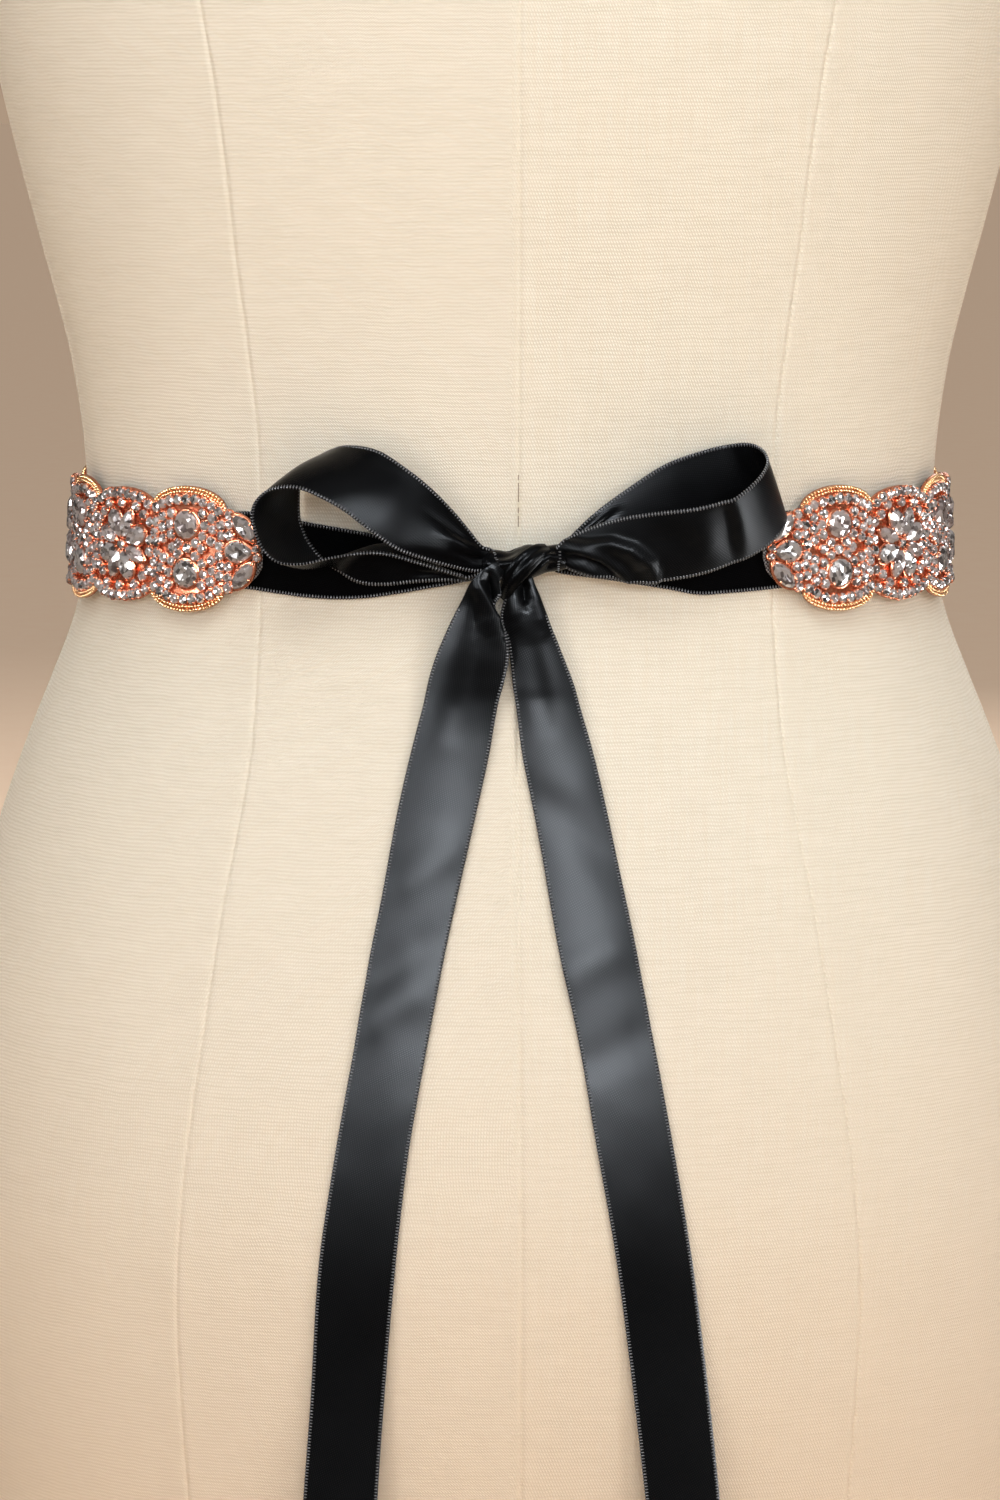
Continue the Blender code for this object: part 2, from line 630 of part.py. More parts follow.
def add_strip(collection, cutters):
    """The motifs and end caps: curved plates with their main stones joined on."""
    for name, kind, start, end in strip_pieces():
        way = math.copysign(GAP / 2, end - start)
        places = outline_places(kind, start + way, end - way, 0.0)
        sections = []
        for along, half_height in places:
            sections.append([strip_point(along, part * half_height, PLATE_LIFT) for part in STRIP_PARTS])
        plate = add_sheet(name, sections, PLATE_THICK, JEWELS, collection)

        stones = bmesh.new()
        for along, height, turn, half_length, half_width in stones_of(kind, start, end):
            shape = Matrix.Diagonal((half_length * MM, half_width * MM, 1.0, 1.0))
            place = stone_frame(along, height) @ Matrix.Rotation(turn, 4, "Z") @ shape
            place = place @ Matrix.Translation((0.0, 0.0, STONE_HEIGHT / 2 * MM))
            bmesh.ops.create_cone(
                stones, cap_ends=True, segments=6, radius1=1.0, radius2=STONE_TABLE,
                depth=STONE_HEIGHT * MM, matrix=place,
            )
        cutter = new_object(f"{name}_stones", stones, JEWELS, cutters)
        cutter.hide_render = True
        cutter.display_type = "WIRE"
        union = plate.modifiers.new("stones", "BOOLEAN")
        union.operation = "UNION"
        union.solver = "EXACT"
        union.object = cutter


def main():
    """Clear the scene and build every part."""
    for item in list(bpy.data.objects):
        bpy.data.objects.remove(item, do_unlink=True)
    parts = bpy.data.collections.new(OBJECT_NAME)
    cutters = bpy.data.collections.new("cutters")
    bpy.context.scene.collection.children.link(parts)
    bpy.context.scene.collection.children.link(cutters)
    add_form(parts)
    add_ribbons(parts)
    add_bow(parts)
    add_backing(parts)
    add_strip(parts, cutters)


main()
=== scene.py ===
"""Looks of the rhinestone belt on its dress form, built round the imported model.

The back of the form, with the bow, faces -Y. Sizes in tables are millimetres, and heights are
measured from the waist line.
"""
import math
import random

import bmesh
import bpy
from mathutils import Matrix, Vector, noise

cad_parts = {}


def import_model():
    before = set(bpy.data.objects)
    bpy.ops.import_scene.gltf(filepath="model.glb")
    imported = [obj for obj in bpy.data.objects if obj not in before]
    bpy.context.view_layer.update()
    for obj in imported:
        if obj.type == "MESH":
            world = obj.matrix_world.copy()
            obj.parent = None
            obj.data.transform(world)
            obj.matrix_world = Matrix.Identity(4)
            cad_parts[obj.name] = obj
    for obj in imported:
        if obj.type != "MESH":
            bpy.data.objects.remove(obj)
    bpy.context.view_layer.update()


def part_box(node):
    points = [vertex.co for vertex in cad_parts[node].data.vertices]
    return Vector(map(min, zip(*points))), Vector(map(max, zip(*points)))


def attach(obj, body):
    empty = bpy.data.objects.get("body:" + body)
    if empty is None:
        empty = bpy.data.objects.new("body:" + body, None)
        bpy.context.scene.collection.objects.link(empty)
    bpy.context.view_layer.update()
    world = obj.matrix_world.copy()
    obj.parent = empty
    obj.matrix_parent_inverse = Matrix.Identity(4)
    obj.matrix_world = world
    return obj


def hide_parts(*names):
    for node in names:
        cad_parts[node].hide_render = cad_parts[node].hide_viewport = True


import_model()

MM = 0.001
WAIST_HEIGHT = 370.0

# The form's shape.
FORM_POWER = 2.2
ARM_PLANE = 160.0
ARM_START = 150.0

# Height, half width, depth of the back, depth of the front.
FORM_ROWS = (
    (-370.0, 155.0, 98.0, 84.0),
    (-335.0, 160.5, 105.0, 88.0),
    (-300.0, 165.0, 112.0, 92.0),
    (-265.0, 168.5, 117.5, 95.5),
    (-230.0, 171.0, 121.5, 99.0),
    (-195.0, 172.0, 123.0, 102.0),
    (-160.0, 170.0, 119.0, 104.0),
    (-130.0, 166.0, 112.5, 104.5),
    (-105.0, 160.5, 106.5, 103.5),
    (-83.0, 154.0, 101.0, 101.0),
    (-61.0, 146.0, 96.5, 97.5),
    (-45.0, 139.5, 93.2, 94.5),
    (-27.0, 132.5, 90.2, 91.0),
    (-12.0, 128.8, 88.5, 88.5),
    (3.0, 127.5, 88.0, 87.5),
    (27.0, 128.5, 88.8, 88.0),
    (52.0, 132.0, 91.0, 91.0),
    (73.0, 137.0, 93.5, 95.0),
    (92.0, 142.0, 96.5, 100.0),
    (118.0, 148.5, 100.5, 108.0),
    (145.0, 154.5, 104.0, 117.0),
    (185.0, 161.0, 107.0, 128.0),
    (225.0, 166.0, 108.0, 123.0),
    (265.0, 170.0, 106.0, 105.0),
    (300.0, 172.0, 101.0, 84.0),
    (326.0, 170.0, 94.0, 70.0),
    (345.0, 160.0, 86.0, 60.0),
    (359.0, 140.0, 78.0, 53.0),
    (371.0, 115.0, 71.0, 49.5),
    (382.0, 90.0, 64.5, 48.0),
    (393.0, 69.0, 58.5, 47.0),
    (405.0, 56.0, 53.0, 46.5),
    (424.0, 51.5, 48.5, 46.0),
    (445.0, 50.0, 47.0, 46.0),
)

# Princess seams of the back: height, distance of each from the centre back.
BACK_SEAM = (
    (-370.0, 92.0), (-320.0, 94.5), (-276.0, 96.5), (-244.0, 98.4), (-214.0, 99.2),
    (-180.0, 97.0), (-155.0, 93.6), (-125.0, 89.2), (-100.0, 85.2), (-77.0, 80.6),
    (-57.0, 77.2), (-34.0, 75.4), (-12.0, 74.3), (10.0, 74.3), (33.0, 74.8),
    (56.0, 77.2), (84.0, 80.6), (112.0, 83.4), (137.0, 86.6), (157.0, 90.0),
    (190.0, 93.0), (230.0, 93.0), (270.0, 89.0), (305.0, 83.0), (335.0, 76.0),
    (352.0, 68.0), (364.0, 58.0), (376.0, 46.0), (390.0, 33.0), (405.0, 25.0),
    (445.0, 21.0),
)
# Princess seams of the front.
FRONT_SEAM = (
    (-370.0, 84.0), (-300.0, 86.0), (-230.0, 85.0), (-160.0, 80.0), (-100.0, 72.0),
    (-50.0, 63.0), (0.0, 57.0), (50.0, 60.0), (100.0, 68.0), (150.0, 76.0),
    (185.0, 80.0), (225.0, 79.0), (265.0, 76.0), (300.0, 73.0), (335.0, 69.0),
    (352.0, 63.0), (364.0, 54.0), (376.0, 43.0), (390.0, 31.0), (405.0, 24.0),
    (445.0, 20.0),
)

# The ribbon's shape.
CLOTH_THICK = 0.42
RIBBON_WIDTH = 22.0
RIBBON_LIFT = 0.9
BACKING_LIFT = 2.2
PLATE_LIFT = 3.6
STRIP_START = 72.0
STRIP_END_FROM_BACK = 74.2
END_CAP_LENGTH = 11.2
MOTIF_COUNT = 21
RIBBON_UNDER_CAP = 10.2
PAIR_EDGE, PAIR_RISE = 12.2, 6.2
FLOWER_EDGE, FLOWER_RISE = 12.2, 4.6
CAP_TIP = 3.0

# x, height of the top edge, height of the bottom edge, lift off the form.
BACK_LEFT_ROWS = (
    (-81.4, 11.2, -10.8, 0.9),
    (-76.0, 11.3, -11.2, 0.9),
    (-69.0, 10.4, -12.0, 0.9),
    (-61.0, 8.9, -12.8, 0.9),
    (-52.0, 7.5, -13.1, 0.9),
    (-43.5, 6.2, -12.6, 1.0),
    (-34.0, 3.9, -11.1, 1.3),
    (-26.0, 1.6, -9.6, 1.6),
    (-19.0, 0.2, -8.3, 2.0),
    (-14.2, -0.5, -7.2, 2.1),
    (-10.8, -1.0, -6.4, 2.4),
    (-7.4, -1.2, -5.4, 3.2),
)
BACK_RIGHT_ROWS = (
    (79.5, 11.2, -10.8, 0.9),
    (75.0, 11.0, -11.1, 0.9),
    (68.7, 10.4, -11.5, 0.9),
    (60.0, 9.6, -11.9, 0.9),
    (52.0, 8.4, -12.0, 0.9),
    (44.0, 6.6, -10.4, 1.0),
    (34.0, 4.6, -8.6, 1.3),
    (26.0, 3.2, -7.2, 1.6),
    (19.0, 2.2, -6.2, 2.0),
    (14.6, 1.8, -5.6, 2.0),
    (10.6, 1.4, -4.8, 2.6),
)

# Near edge x, height, lift; far edge x, height, lift; belly in height and in lift.
LOOP_LEFT_ROWS = (
    (-5.6, -3.2, 6.4, -5.2, 0.8, 6.4, 0.0, 0.3),
    (-9.0, -3.6, 7.8, -8.2, 2.6, 7.6, 0.1, 0.4),
    (-12.6, -4.0, 9.3, -10.7, 3.6, 8.4, 0.2, 0.6),
    (-19.6, -2.3, 12.0, -13.8, 7.4, 8.4, 0.6, 2.2),
    (-26.7, -0.1, 15.0, -19.0, 13.7, 8.4, 0.8, 2.0),
    (-34.7, 3.0, 18.0, -24.8, 19.8, 9.2, 0.6, 1.4),
    (-41.8, 7.9, 20.4, -31.1, 25.1, 11.0, 0.5, 1.0),
    (-49.5, 14.0, 22.4, -39.8, 30.5, 10.0, 0.6, 1.0),
    (-56.4, 18.0, 24.2, -48.4, 31.8, 7.0, 1.0, 1.2),
    (-61.8, 20.3, 25.2, -54.6, 29.6, 4.6, 1.8, 1.4),
    (-67.0, 20.6, 25.4, -59.0, 26.6, 3.4, 2.2, 1.4),
    (-71.8, 19.3, 25.0, -61.4, 23.1, 2.8, 1.6, 1.0),
    (-75.0, 16.2, 24.6, -62.6, 18.7, 2.6, 0.6, 0.6),
    (-76.2, 12.1, 24.2, -62.8, 14.3, 2.6, -0.2, 0.4),
    (-75.3, 7.5, 23.8, -62.6, 9.9, 2.6, -1.0, 0.2),
    (-73.2, 2.8, 22.6, -61.4, 6.2, 2.8, -1.8, 0.0),
    (-69.0, -0.8, 21.4, -59.6, 3.0, 3.2, -2.6, -0.4),
    (-62.4, -1.4, 20.0, -56.6, -0.6, 3.6, -2.4, -0.8),
    (-54.1, 0.3, 18.0, -52.4, -4.2, 4.2, 0.2, -0.8),
    (-44.3, 1.5, 15.6, -46.0, -7.8, 4.8, 4.6, -0.6),
    (-37.1, 0.9, 13.8, -38.5, -8.4, 5.2, 6.8, -0.4),
    (-28.2, -1.7, 11.8, -28.9, -7.4, 5.4, 4.6, 0.0),
    (-20.4, -4.2, 9.8, -20.8, -7.0, 5.6, 1.8, 0.4),
    (-15.2, -5.4, 8.2, -15.4, -7.0, 5.6, 0.2, 0.6),
    (-11.4, -4.6, 6.6, -11.6, -6.2, 5.2, 0.0, 0.2),
    (-7.6, -3.8, 6.2, -7.8, -4.8, 5.2, 0.0, 0.1),
)
LOOP_RIGHT_ROWS = (
    (9.6, 1.6, 6.4, 9.8, -1.6, 6.0, 0.1, 0.3),
    (12.0, 2.9, 6.2, 12.4, -1.6, 5.6, 0.2, 0.4),
    (14.6, 5.6, 5.8, 15.4, -1.4, 5.2, 0.2, 0.6),
    (22.0, 12.6, 5.0, 25.4, -2.6, 4.2, 0.6, 0.8),
    (32.1, 19.8, 3.8, 37.4, 1.4, 3.4, 0.6, 0.6),
    (42.3, 26.0, 2.8, 48.0, 5.2, 2.8, 0.4, 0.4),
    (52.9, 29.6, 2.7, 57.0, 8.0, 2.7, 0.2, 0.3),
    (61.0, 31.4, 4.0, 65.4, 10.0, 2.9, 0.2, 0.6),
    (66.7, 31.8, 8.4, 71.8, 11.2, 4.2, 0.4, 1.0),
    (69.9, 30.2, 14.0, 75.6, 11.4, 6.6, 0.6, 1.0),
    (70.8, 27.4, 19.0, 77.4, 10.4, 9.0, 0.6, 0.6),
    (68.8, 23.9, 22.6, 76.6, 7.4, 11.0, 0.4, 0.6),
    (64.7, 20.2, 24.6, 72.8, 3.4, 12.6, 0.2, 0.8),
    (58.9, 16.6, 25.2, 65.4, -0.8, 13.6, 0.0, 1.0),
    (51.2, 15.0, 23.6, 53.6, -4.8, 13.2, 0.0, 1.2),
    (38.4, 13.4, 19.2, 39.5, -6.9, 11.0, 0.2, 1.2),
    (29.3, 11.8, 15.2, 30.7, -7.0, 9.4, 0.3, 1.4),
    (21.2, 9.2, 11.8, 22.0, -5.6, 8.2, 0.3, 1.4),
    (15.4, 6.6, 9.6, 15.8, -4.0, 7.6, 0.2, 1.2),
    (12.2, 3.6, 8.2, 12.4, -2.3, 7.0, 0.1, 0.8),
    (9.0, 1.2, 7.0, 9.0, -2.2, 6.6, 0.0, 0.4),
)

# The left edge's x, height, lift; the right edge's; belly in height and in lift.
TAIL_LEFT_ROWS = (
    (-4.4, -0.2, 10.4, -3.6, -4.2, 10.2, 0.0, 0.3),
    (-7.3, -1.2, 12.3, -5.5, -5.4, 11.5, 0.2, 0.5),
    (-10.3, -3.1, 12.3, -5.5, -7.6, 10.6, 0.6, 0.8),
    (-12.4, -5.7, 11.2, -5.2, -10.2, 9.6, 0.8, 1.2),
    (-14.5, -9.2, 9.8, -6.1, -13.4, 8.6, 0.6, 1.6),
    (-17.3, -14.4, 8.2, -6.1, -17.0, 8.0, 0.3, 2.0),
    (-20.2, -20.4, 7.0, -3.6, -21.8, 7.6, 0.0, 2.4),
    (-23.3, -27.6, 5.6, -2.9, -28.4, 6.6, 0.0, 2.6),
    (-25.6, -35.0, 4.0, -4.2, -35.4, 4.8, 0.0, 2.4),
    (-27.4, -43.0, 2.8, -6.2, -43.0, 3.2, 0.0, 2.0),
    (-31.2, -57.5, 1.6, -8.8, -57.5, 1.8, 0.0, 1.6),
    (-35.2, -75.0, 1.3, -12.8, -75.0, 1.3, 0.0, 1.4),
    (-38.8, -94.5, 1.2, -17.4, -94.5, 1.2, 0.0, 1.2),
    (-43.2, -115.0, 1.2, -22.0, -115.0, 1.2, 0.0, 1.0),
    (-46.8, -136.0, 1.2, -26.2, -136.0, 1.2, 0.0, 0.8),
    (-50.2, -154.0, 1.2, -29.6, -154.0, 1.2, 0.0, 0.6),
    (-53.4, -172.0, 1.2, -32.6, -172.0, 1.2, 0.0, 0.5),
    (-57.8, -202.0, 1.3, -36.0, -202.0, 1.3, 0.0, 0.4),
    (-60.2, -240.0, 3.2, -39.2, -240.0, 3.2, 0.0, 0.4),
    (-62.6, -272.0, 7.4, -41.4, -272.0, 7.4, 0.0, 0.5),
    (-64.6, -305.0, 13.5, -43.2, -305.0, 13.5, 0.0, 0.6),
    (-66.2, -340.0, 21.5, -44.8, -331.0, 21.5, 0.0, 0.6),
)
TAIL_RIGHT_ROWS = (
    (-0.6, -3.0, 6.2, 3.0, -2.6, 6.4, 0.0, 0.2),
    (-1.0, -5.6, 6.6, 3.8, -5.0, 7.0, 0.0, 0.4),
    (-1.9, -8.6, 6.4, 4.6, -8.0, 7.2, 0.0, 0.8),
    (-3.8, -12.0, 6.0, 6.2, -12.0, 6.8, 0.0, 1.4),
    (-5.1, -16.4, 5.2, 7.9, -16.4, 6.2, 0.0, 1.8),
    (-4.7, -20.0, 4.6, 9.2, -20.0, 5.6, 0.0, 2.1),
    (-3.2, -23.8, 4.0, 10.8, -23.8, 5.0, 0.0, 2.2),
    (-2.3, -30.0, 3.4, 13.2, -30.0, 4.2, 0.0, 2.3),
    (-1.6, -37.0, 2.8, 15.8, -37.0, 3.2, 0.0, 2.2),
    (-0.6, -43.5, 2.2, 17.6, -43.5, 2.5, 0.0, 2.0),
    (1.2, -57.5, 1.6, 21.6, -57.5, 1.6, 0.0, 1.7),
    (6.0, -82.0, 1.3, 27.2, -82.0, 1.3, 0.0, 1.5),
    (10.8, -109.5, 1.2, 32.8, -109.5, 1.2, 0.0, 1.3),
    (16.6, -136.5, 1.2, 38.0, -136.5, 1.2, 0.0, 0.9),
    (21.6, -166.0, 1.2, 43.4, -166.0, 1.2, 0.0, 0.6),
    (27.0, -197.0, 1.3, 48.6, -197.0, 1.3, 0.0, 0.4),
    (31.6, -232.0, 2.8, 53.2, -232.0, 2.8, 0.0, 0.4),
    (36.2, -272.0, 7.4, 57.6, -272.0, 7.4, 0.0, 0.5),
    (39.2, -305.0, 13.5, 60.6, -305.0, 13.5, 0.0, 0.6),
    (42.2, -340.0, 21.5, 63.4, -331.0, 21.5, 0.0, 0.6),
)

# x, middle height, half height, middle lift, half depth of each section.
KNOT_ROWS = (
    (-11.3, -1.7, 1.6, 6.2, 1.7),
    (-10.2, -1.7, 2.8, 6.4, 3.0),
    (-8.4, -1.6, 3.8, 6.6, 4.2),
    (-5.6, -2.3, 4.4, 6.9, 4.8),
    (-2.9, -3.0, 4.8, 7.0, 5.1),
    (0.0, -2.2, 5.1, 7.0, 5.5),
    (2.6, -1.5, 5.0, 6.9, 5.6),
    (5.2, -1.1, 4.4, 6.7, 5.1),
    (8.4, -0.5, 3.9, 6.5, 4.5),
    (11.4, -0.1, 3.8, 6.3, 4.1),
    (13.4, -0.1, 3.4, 6.2, 3.2),
    (14.8, 0.0, 2.2, 6.2, 1.9),
)
# x, height, lift of its middle; half width; half thickness.
STRAP_ROWS = (
    (8.8, 2.6, 7.6, 2.0, 0.8),
    (6.6, 2.4, 10.2, 2.5, 1.2),
    (4.0, 0.9, 11.9, 2.9, 1.4),
    (1.4, -1.4, 12.5, 3.1, 1.4),
    (-1.0, -4.2, 12.0, 3.1, 1.3),
    (-2.9, -7.2, 10.4, 2.7, 1.2),
    (-4.0, -10.0, 7.9, 2.1, 1.0),
    (-4.5, -12.4, 5.4, 1.5, 0.8),
)

# Folds, given as lines of x and height seen from behind the back: first and last row that a
# fold acts on, its width to the left and to the right of its line, its height, and the line.
LOOP_LEFT_FOLDS = (
    (0, 8, 1.3, 0.9, -0.6, ((-8.5, -0.9), (-13.5, 0.2), (-19.0, 2.2))),
    (0, 8, 1.2, 1.2, 0.5, ((-8.5, 0.9), (-15.5, 3.6), (-23.0, 7.4))),
    (0, 8, 1.0, 0.8, -0.35, ((-14.0, 4.6), (-21.0, 9.6), (-27.0, 14.0))),
    (0, 9, 0.9, 0.9, -0.3, ((-14.0, -1.4), (-21.0, 0.0), (-29.0, 2.4))),
    (3, 12, 7.0, 4.0, -0.6, ((-24.0, 18.0), (-36.0, 24.0), (-50.0, 30.0))),
    (17, 24, 0.9, 0.7, -0.6, ((-16.0, -5.8), (-24.0, -5.0), (-31.0, -4.6))),
)
LOOP_RIGHT_FOLDS = (
    (13, 20, 1.9, 0.9, 1.8, ((12.5, 2.4), (18.2, 2.4), (23.6, 0.4), (28.6, -3.4), (32.0, -7.4))),
    (13, 20, 1.2, 1.5, -1.3, ((15.0, 0.4), (19.5, 0.0), (23.0, -2.2), (26.2, -5.0), (28.0, -7.6))),
    (13, 20, 0.9, 4.2, 2.9, ((13.0, 4.6), (19.5, 4.2), (26.4, 5.2), (32.8, 3.4), (37.6, -0.6), (39.4, -5.0))),
    (13, 20, 1.6, 1.2, 0.7, ((13.0, -1.4), (18.0, -3.0), (23.5, -5.4))),
    (11, 17, 5.0, 5.0, -0.9, ((37.0, 9.0), (45.0, 4.6), (52.0, -1.0))),
    (9, 16, 2.2, 7.0, -1.7, ((57.0, 18.0), (60.0, 9.0), (61.5, -1.0))),
    (0, 7, 1.1, 1.1, 0.6, ((13.0, 3.0), (19.0, 7.6), (24.0, 11.6))),
    (0, 7, 1.0, 1.0, -0.7, ((14.0, 1.6), (21.0, 7.0), (28.0, 12.6))),
)
TAIL_LEFT_FOLDS = (
    (1, 9, 0.9, 3.8, 2.5, ((-10.6, -3.0), (-11.2, -6.0), (-9.5, -10.7), (-7.6, -15.6), (-5.2, -21.4))),
    (1, 8, 1.1, 0.9, -2.2, ((-8.6, -4.4), (-8.4, -7.6), (-7.3, -11.6), (-6.2, -15.4))),
    (2, 9, 1.6, 1.2, -0.5, ((-12.0, -9.0), (-13.2, -14.0), (-13.4, -21.0))),
    (5, 12, 3.0, 3.0, -0.7, ((-14.0, -22.0), (-15.6, -34.0), (-18.6, -50.0))),
    (9, 15, 7.0, 5.0, 0.6, ((-40.0, -96.0), (-28.0, -90.0), (-14.0, -80.0))),
    (11, 17, 5.0, 6.0, -0.6, ((-22.0, -106.0), (-34.0, -114.0), (-46.0, -124.0))),
    (12, 18, 5.0, 6.0, 0.5, ((-24.0, -120.0), (-36.0, -127.0), (-48.0, -136.0))),
)
TAIL_RIGHT_FOLDS = (
    (0, 6, 1.5, 1.3, -2.6, ((0.8, -6.5), (1.3, -10.0), (2.2, -14.0))),
    (0, 7, 1.5, 2.0, 0.8, ((-1.2, -8.0), (-1.6, -13.0), (-0.8, -19.0))),
    (0, 8, 1.3, 2.2, 0.8, ((3.4, -7.5), (5.2, -13.0), (7.4, -21.0))),
    (3, 11, 3.0, 3.4, -0.8, ((2.0, -18.0), (4.4, -30.0), (8.0, -48.0))),
    (9, 14, 6.0, 6.0, -0.6, ((3.0, -66.0), (15.0, -76.0), (29.0, -90.0))),
    (10, 15, 6.0, 6.0, 0.6, ((34.0, -108.0), (22.0, -114.0), (8.0, -122.0))),
    (11, 16, 5.0, 6.0, -0.5, ((40.0, -134.0), (28.0, -139.0), (14.0, -146.0))),
)
KNOT_FOLDS = (
    (0, 11, 1.4, 1.8, 0.9, ((6.0, 0.6), (2.6, 0.9), (-1.5, -1.0), (-6.5, -2.2))),
    (0, 11, 1.0, 1.0, -1.0, ((5.4, -0.6), (3.6, -2.6), (1.2, -5.2))),
    (0, 11, 1.5, 1.2, 0.8, ((11.0, -0.2), (8.6, 0.7), (6.4, -0.9), (4.4, -3.4))),
    (0, 11, 0.8, 0.8, -0.8, ((10.6, 1.6), (8.8, 2.4), (6.8, 1.2))),
    (0, 11, 0.9, 0.9, -0.7, ((10.8, -2.0), (9.2, -1.6), (7.4, -3.4))),
    (0, 11, 1.0, 1.0, -0.8, ((-7.5, 0.4), (-3.5, 0.6), (0.0, 2.4))),
    (0, 11, 0.9, 0.9, -0.7, ((-6.5, -4.0), (-3.0, -3.2), (-0.6, -5.8))),
)
BACK_LEFT_FOLDS = (
    (4, 11, 1.2, 1.0, 0.5, ((-48.0, 3.6), (-34.0, 0.4), (-20.0, -2.6), (-12.0, -3.0))),
    (4, 11, 1.3, 1.3, -0.4, ((-44.0, -9.4), (-32.0, -7.6), (-20.0, -6.0), (-12.0, -4.6))),
)
BACK_RIGHT_FOLDS = (
    (3, 10, 1.2, 1.0, 0.5, ((50.0, 3.6), (36.0, 0.6), (22.0, -0.4), (13.0, -0.6))),
    (4, 10, 1.2, 1.2, -0.4, ((44.0, -6.4), (32.0, -4.2), (20.0, -3.4), (13.0, -2.8))),
)


def smooth_row(rows, place):
    """The row at a place counted along a table, eased between rows."""
    index = max(0, min(int(place), len(rows) - 2))
    part = place - index
    here, after = rows[index], rows[index + 1]
    before = rows[index - 1] if index > 0 else here
    beyond = rows[index + 2] if index + 2 < len(rows) else after
    row = []
    for a, b, c, d in zip(before, here, after, beyond):
        bend = 2 * a - 5 * b + 4 * c - d
        twist = 3 * b - 3 * c + d - a
        row.append(b + 0.5 * part * (c - a + part * (bend + part * twist)))
    return row


def table_value(rows, height):
    """The eased value of a two-column table at a height."""
    index = 0
    while index < len(rows) - 2 and rows[index + 1][0] < height:
        index += 1
    part = (height - rows[index][0]) / (rows[index + 1][0] - rows[index][0])
    return smooth_row(rows, index + min(1.0, max(0.0, part)))[1]


def form_section(height):
    """Half width and depths of the form at a height."""
    last = len(FORM_ROWS) - 1
    index = 0
    while index < last - 1 and FORM_ROWS[index + 1][0] < height:
        index += 1
    low, high = FORM_ROWS[index], FORM_ROWS[index + 1]
    part = (height - low[0]) / (high[0] - low[0])
    before = FORM_ROWS[max(index - 1, 0)]
    beyond = FORM_ROWS[min(index + 2, last)]
    values = []
    for column in (1, 2, 3):
        rise_low = (high[column] - before[column]) / (high[0] - before[0])
        rise_high = (beyond[column] - low[column]) / (beyond[0] - low[0])
        span = high[0] - low[0]
        square, cube = part * part, part ** 3
        values.append(
            (2 * cube - 3 * square + 1) * low[column]
            + (cube - 2 * square + part) * span * rise_low
            + (3 * square - 2 * cube) * high[column]
            + (cube - square) * span * rise_high
        )
    return values


def world(x, y, height):
    """A point in metres from millimetres and a height over the waist."""
    return Vector((x * MM, y * MM, (height + WAIST_HEIGHT) * MM))


def section_point(section, turn, height, out):
    """A point at a distance off one section; turn 0 is the centre back, a quarter turn is +X."""
    half_width, back, front = section
    side, away = math.sin(turn), math.cos(turn)
    depth = back if away > 0 else front
    reach = 2 / FORM_POWER
    x = half_width * math.copysign(abs(side) ** reach, side)
    y = -depth * math.copysign(abs(away) ** reach, away)
    slope_x = math.copysign(abs(x / half_width) ** (FORM_POWER - 1), x) / half_width
    slope_y = math.copysign(abs(y / depth) ** (FORM_POWER - 1), y) / depth
    length = math.hypot(slope_x, slope_y)
    if height > ARM_START:
        x = max(-ARM_PLANE, min(ARM_PLANE, x))
    return x + out * slope_x / length, y + out * slope_y / length


def form_point(turn, height, out):
    """A point at a distance off the form, as x and y in millimetres."""
    return section_point(form_section(height), turn, height, out)


def turn_of(section, x, front):
    """The turn of a point on the section at a distance from the middle plane."""
    side = min(1.0, abs(x) / section[0]) ** (FORM_POWER / 2)
    turn = math.asin(side)
    if front:
        turn = math.pi - turn
    return math.copysign(turn, x)


def back_point(x, height, lift):
    """A point in front of the form's back, at a distance along -Y."""
    half_width, back, _ = form_section(height)
    reach = max(0.0, 1 - abs(x / half_width) ** FORM_POWER)
    return world(x, -back * reach ** (1 / FORM_POWER) - lift, height)


def waist_stations():
    """Turns round the waist and the length of ribbon that reaches each of them."""
    turns = [math.tau * step / 720 for step in range(721)]
    lengths = [0.0]
    for start, end in zip(turns, turns[1:]):
        a, b = form_point(start, 0.0, RIBBON_LIFT), form_point(end, 0.0, RIBBON_LIFT)
        lengths.append(lengths[-1] + math.dist(a, b))
    return turns, lengths


TURNS, LENGTHS = waist_stations()
WAIST_ROUND = LENGTHS[-1]
STRIP_END = WAIST_ROUND - STRIP_END_FROM_BACK
MOTIF_PITCH = (STRIP_END - STRIP_START - 2 * END_CAP_LENGTH) / MOTIF_COUNT


def turn_at(along):
    """The turn that a length of ribbon from the centre back reaches."""
    low, high = 0, len(LENGTHS) - 2
    while low < high:
        middle = (low + high + 1) // 2
        if LENGTHS[middle] <= along:
            low = middle
        else:
            high = middle - 1
    part = (along - LENGTHS[low]) / (LENGTHS[low + 1] - LENGTHS[low])
    return TURNS[low] + part * (TURNS[low + 1] - TURNS[low])


def strip_point(along, height, lift):
    """A point on the jewelled strip, by its length round the waist."""
    x, y = form_point(turn_at(along), height, lift)
    return world(x, y, height)


def strip_frame(along, height, lift):
    """A frame over the strip: X along it, Y up, Z out."""
    place = strip_point(along, height, lift)
    out = (strip_point(along, height, lift + 1.0) - place).normalized()
    up = Vector((0.0, 0.0, 1.0))
    side = up.cross(out)
    matrix = Matrix((side, up, out)).transposed().to_4x4()
    matrix.translation = place
    return matrix


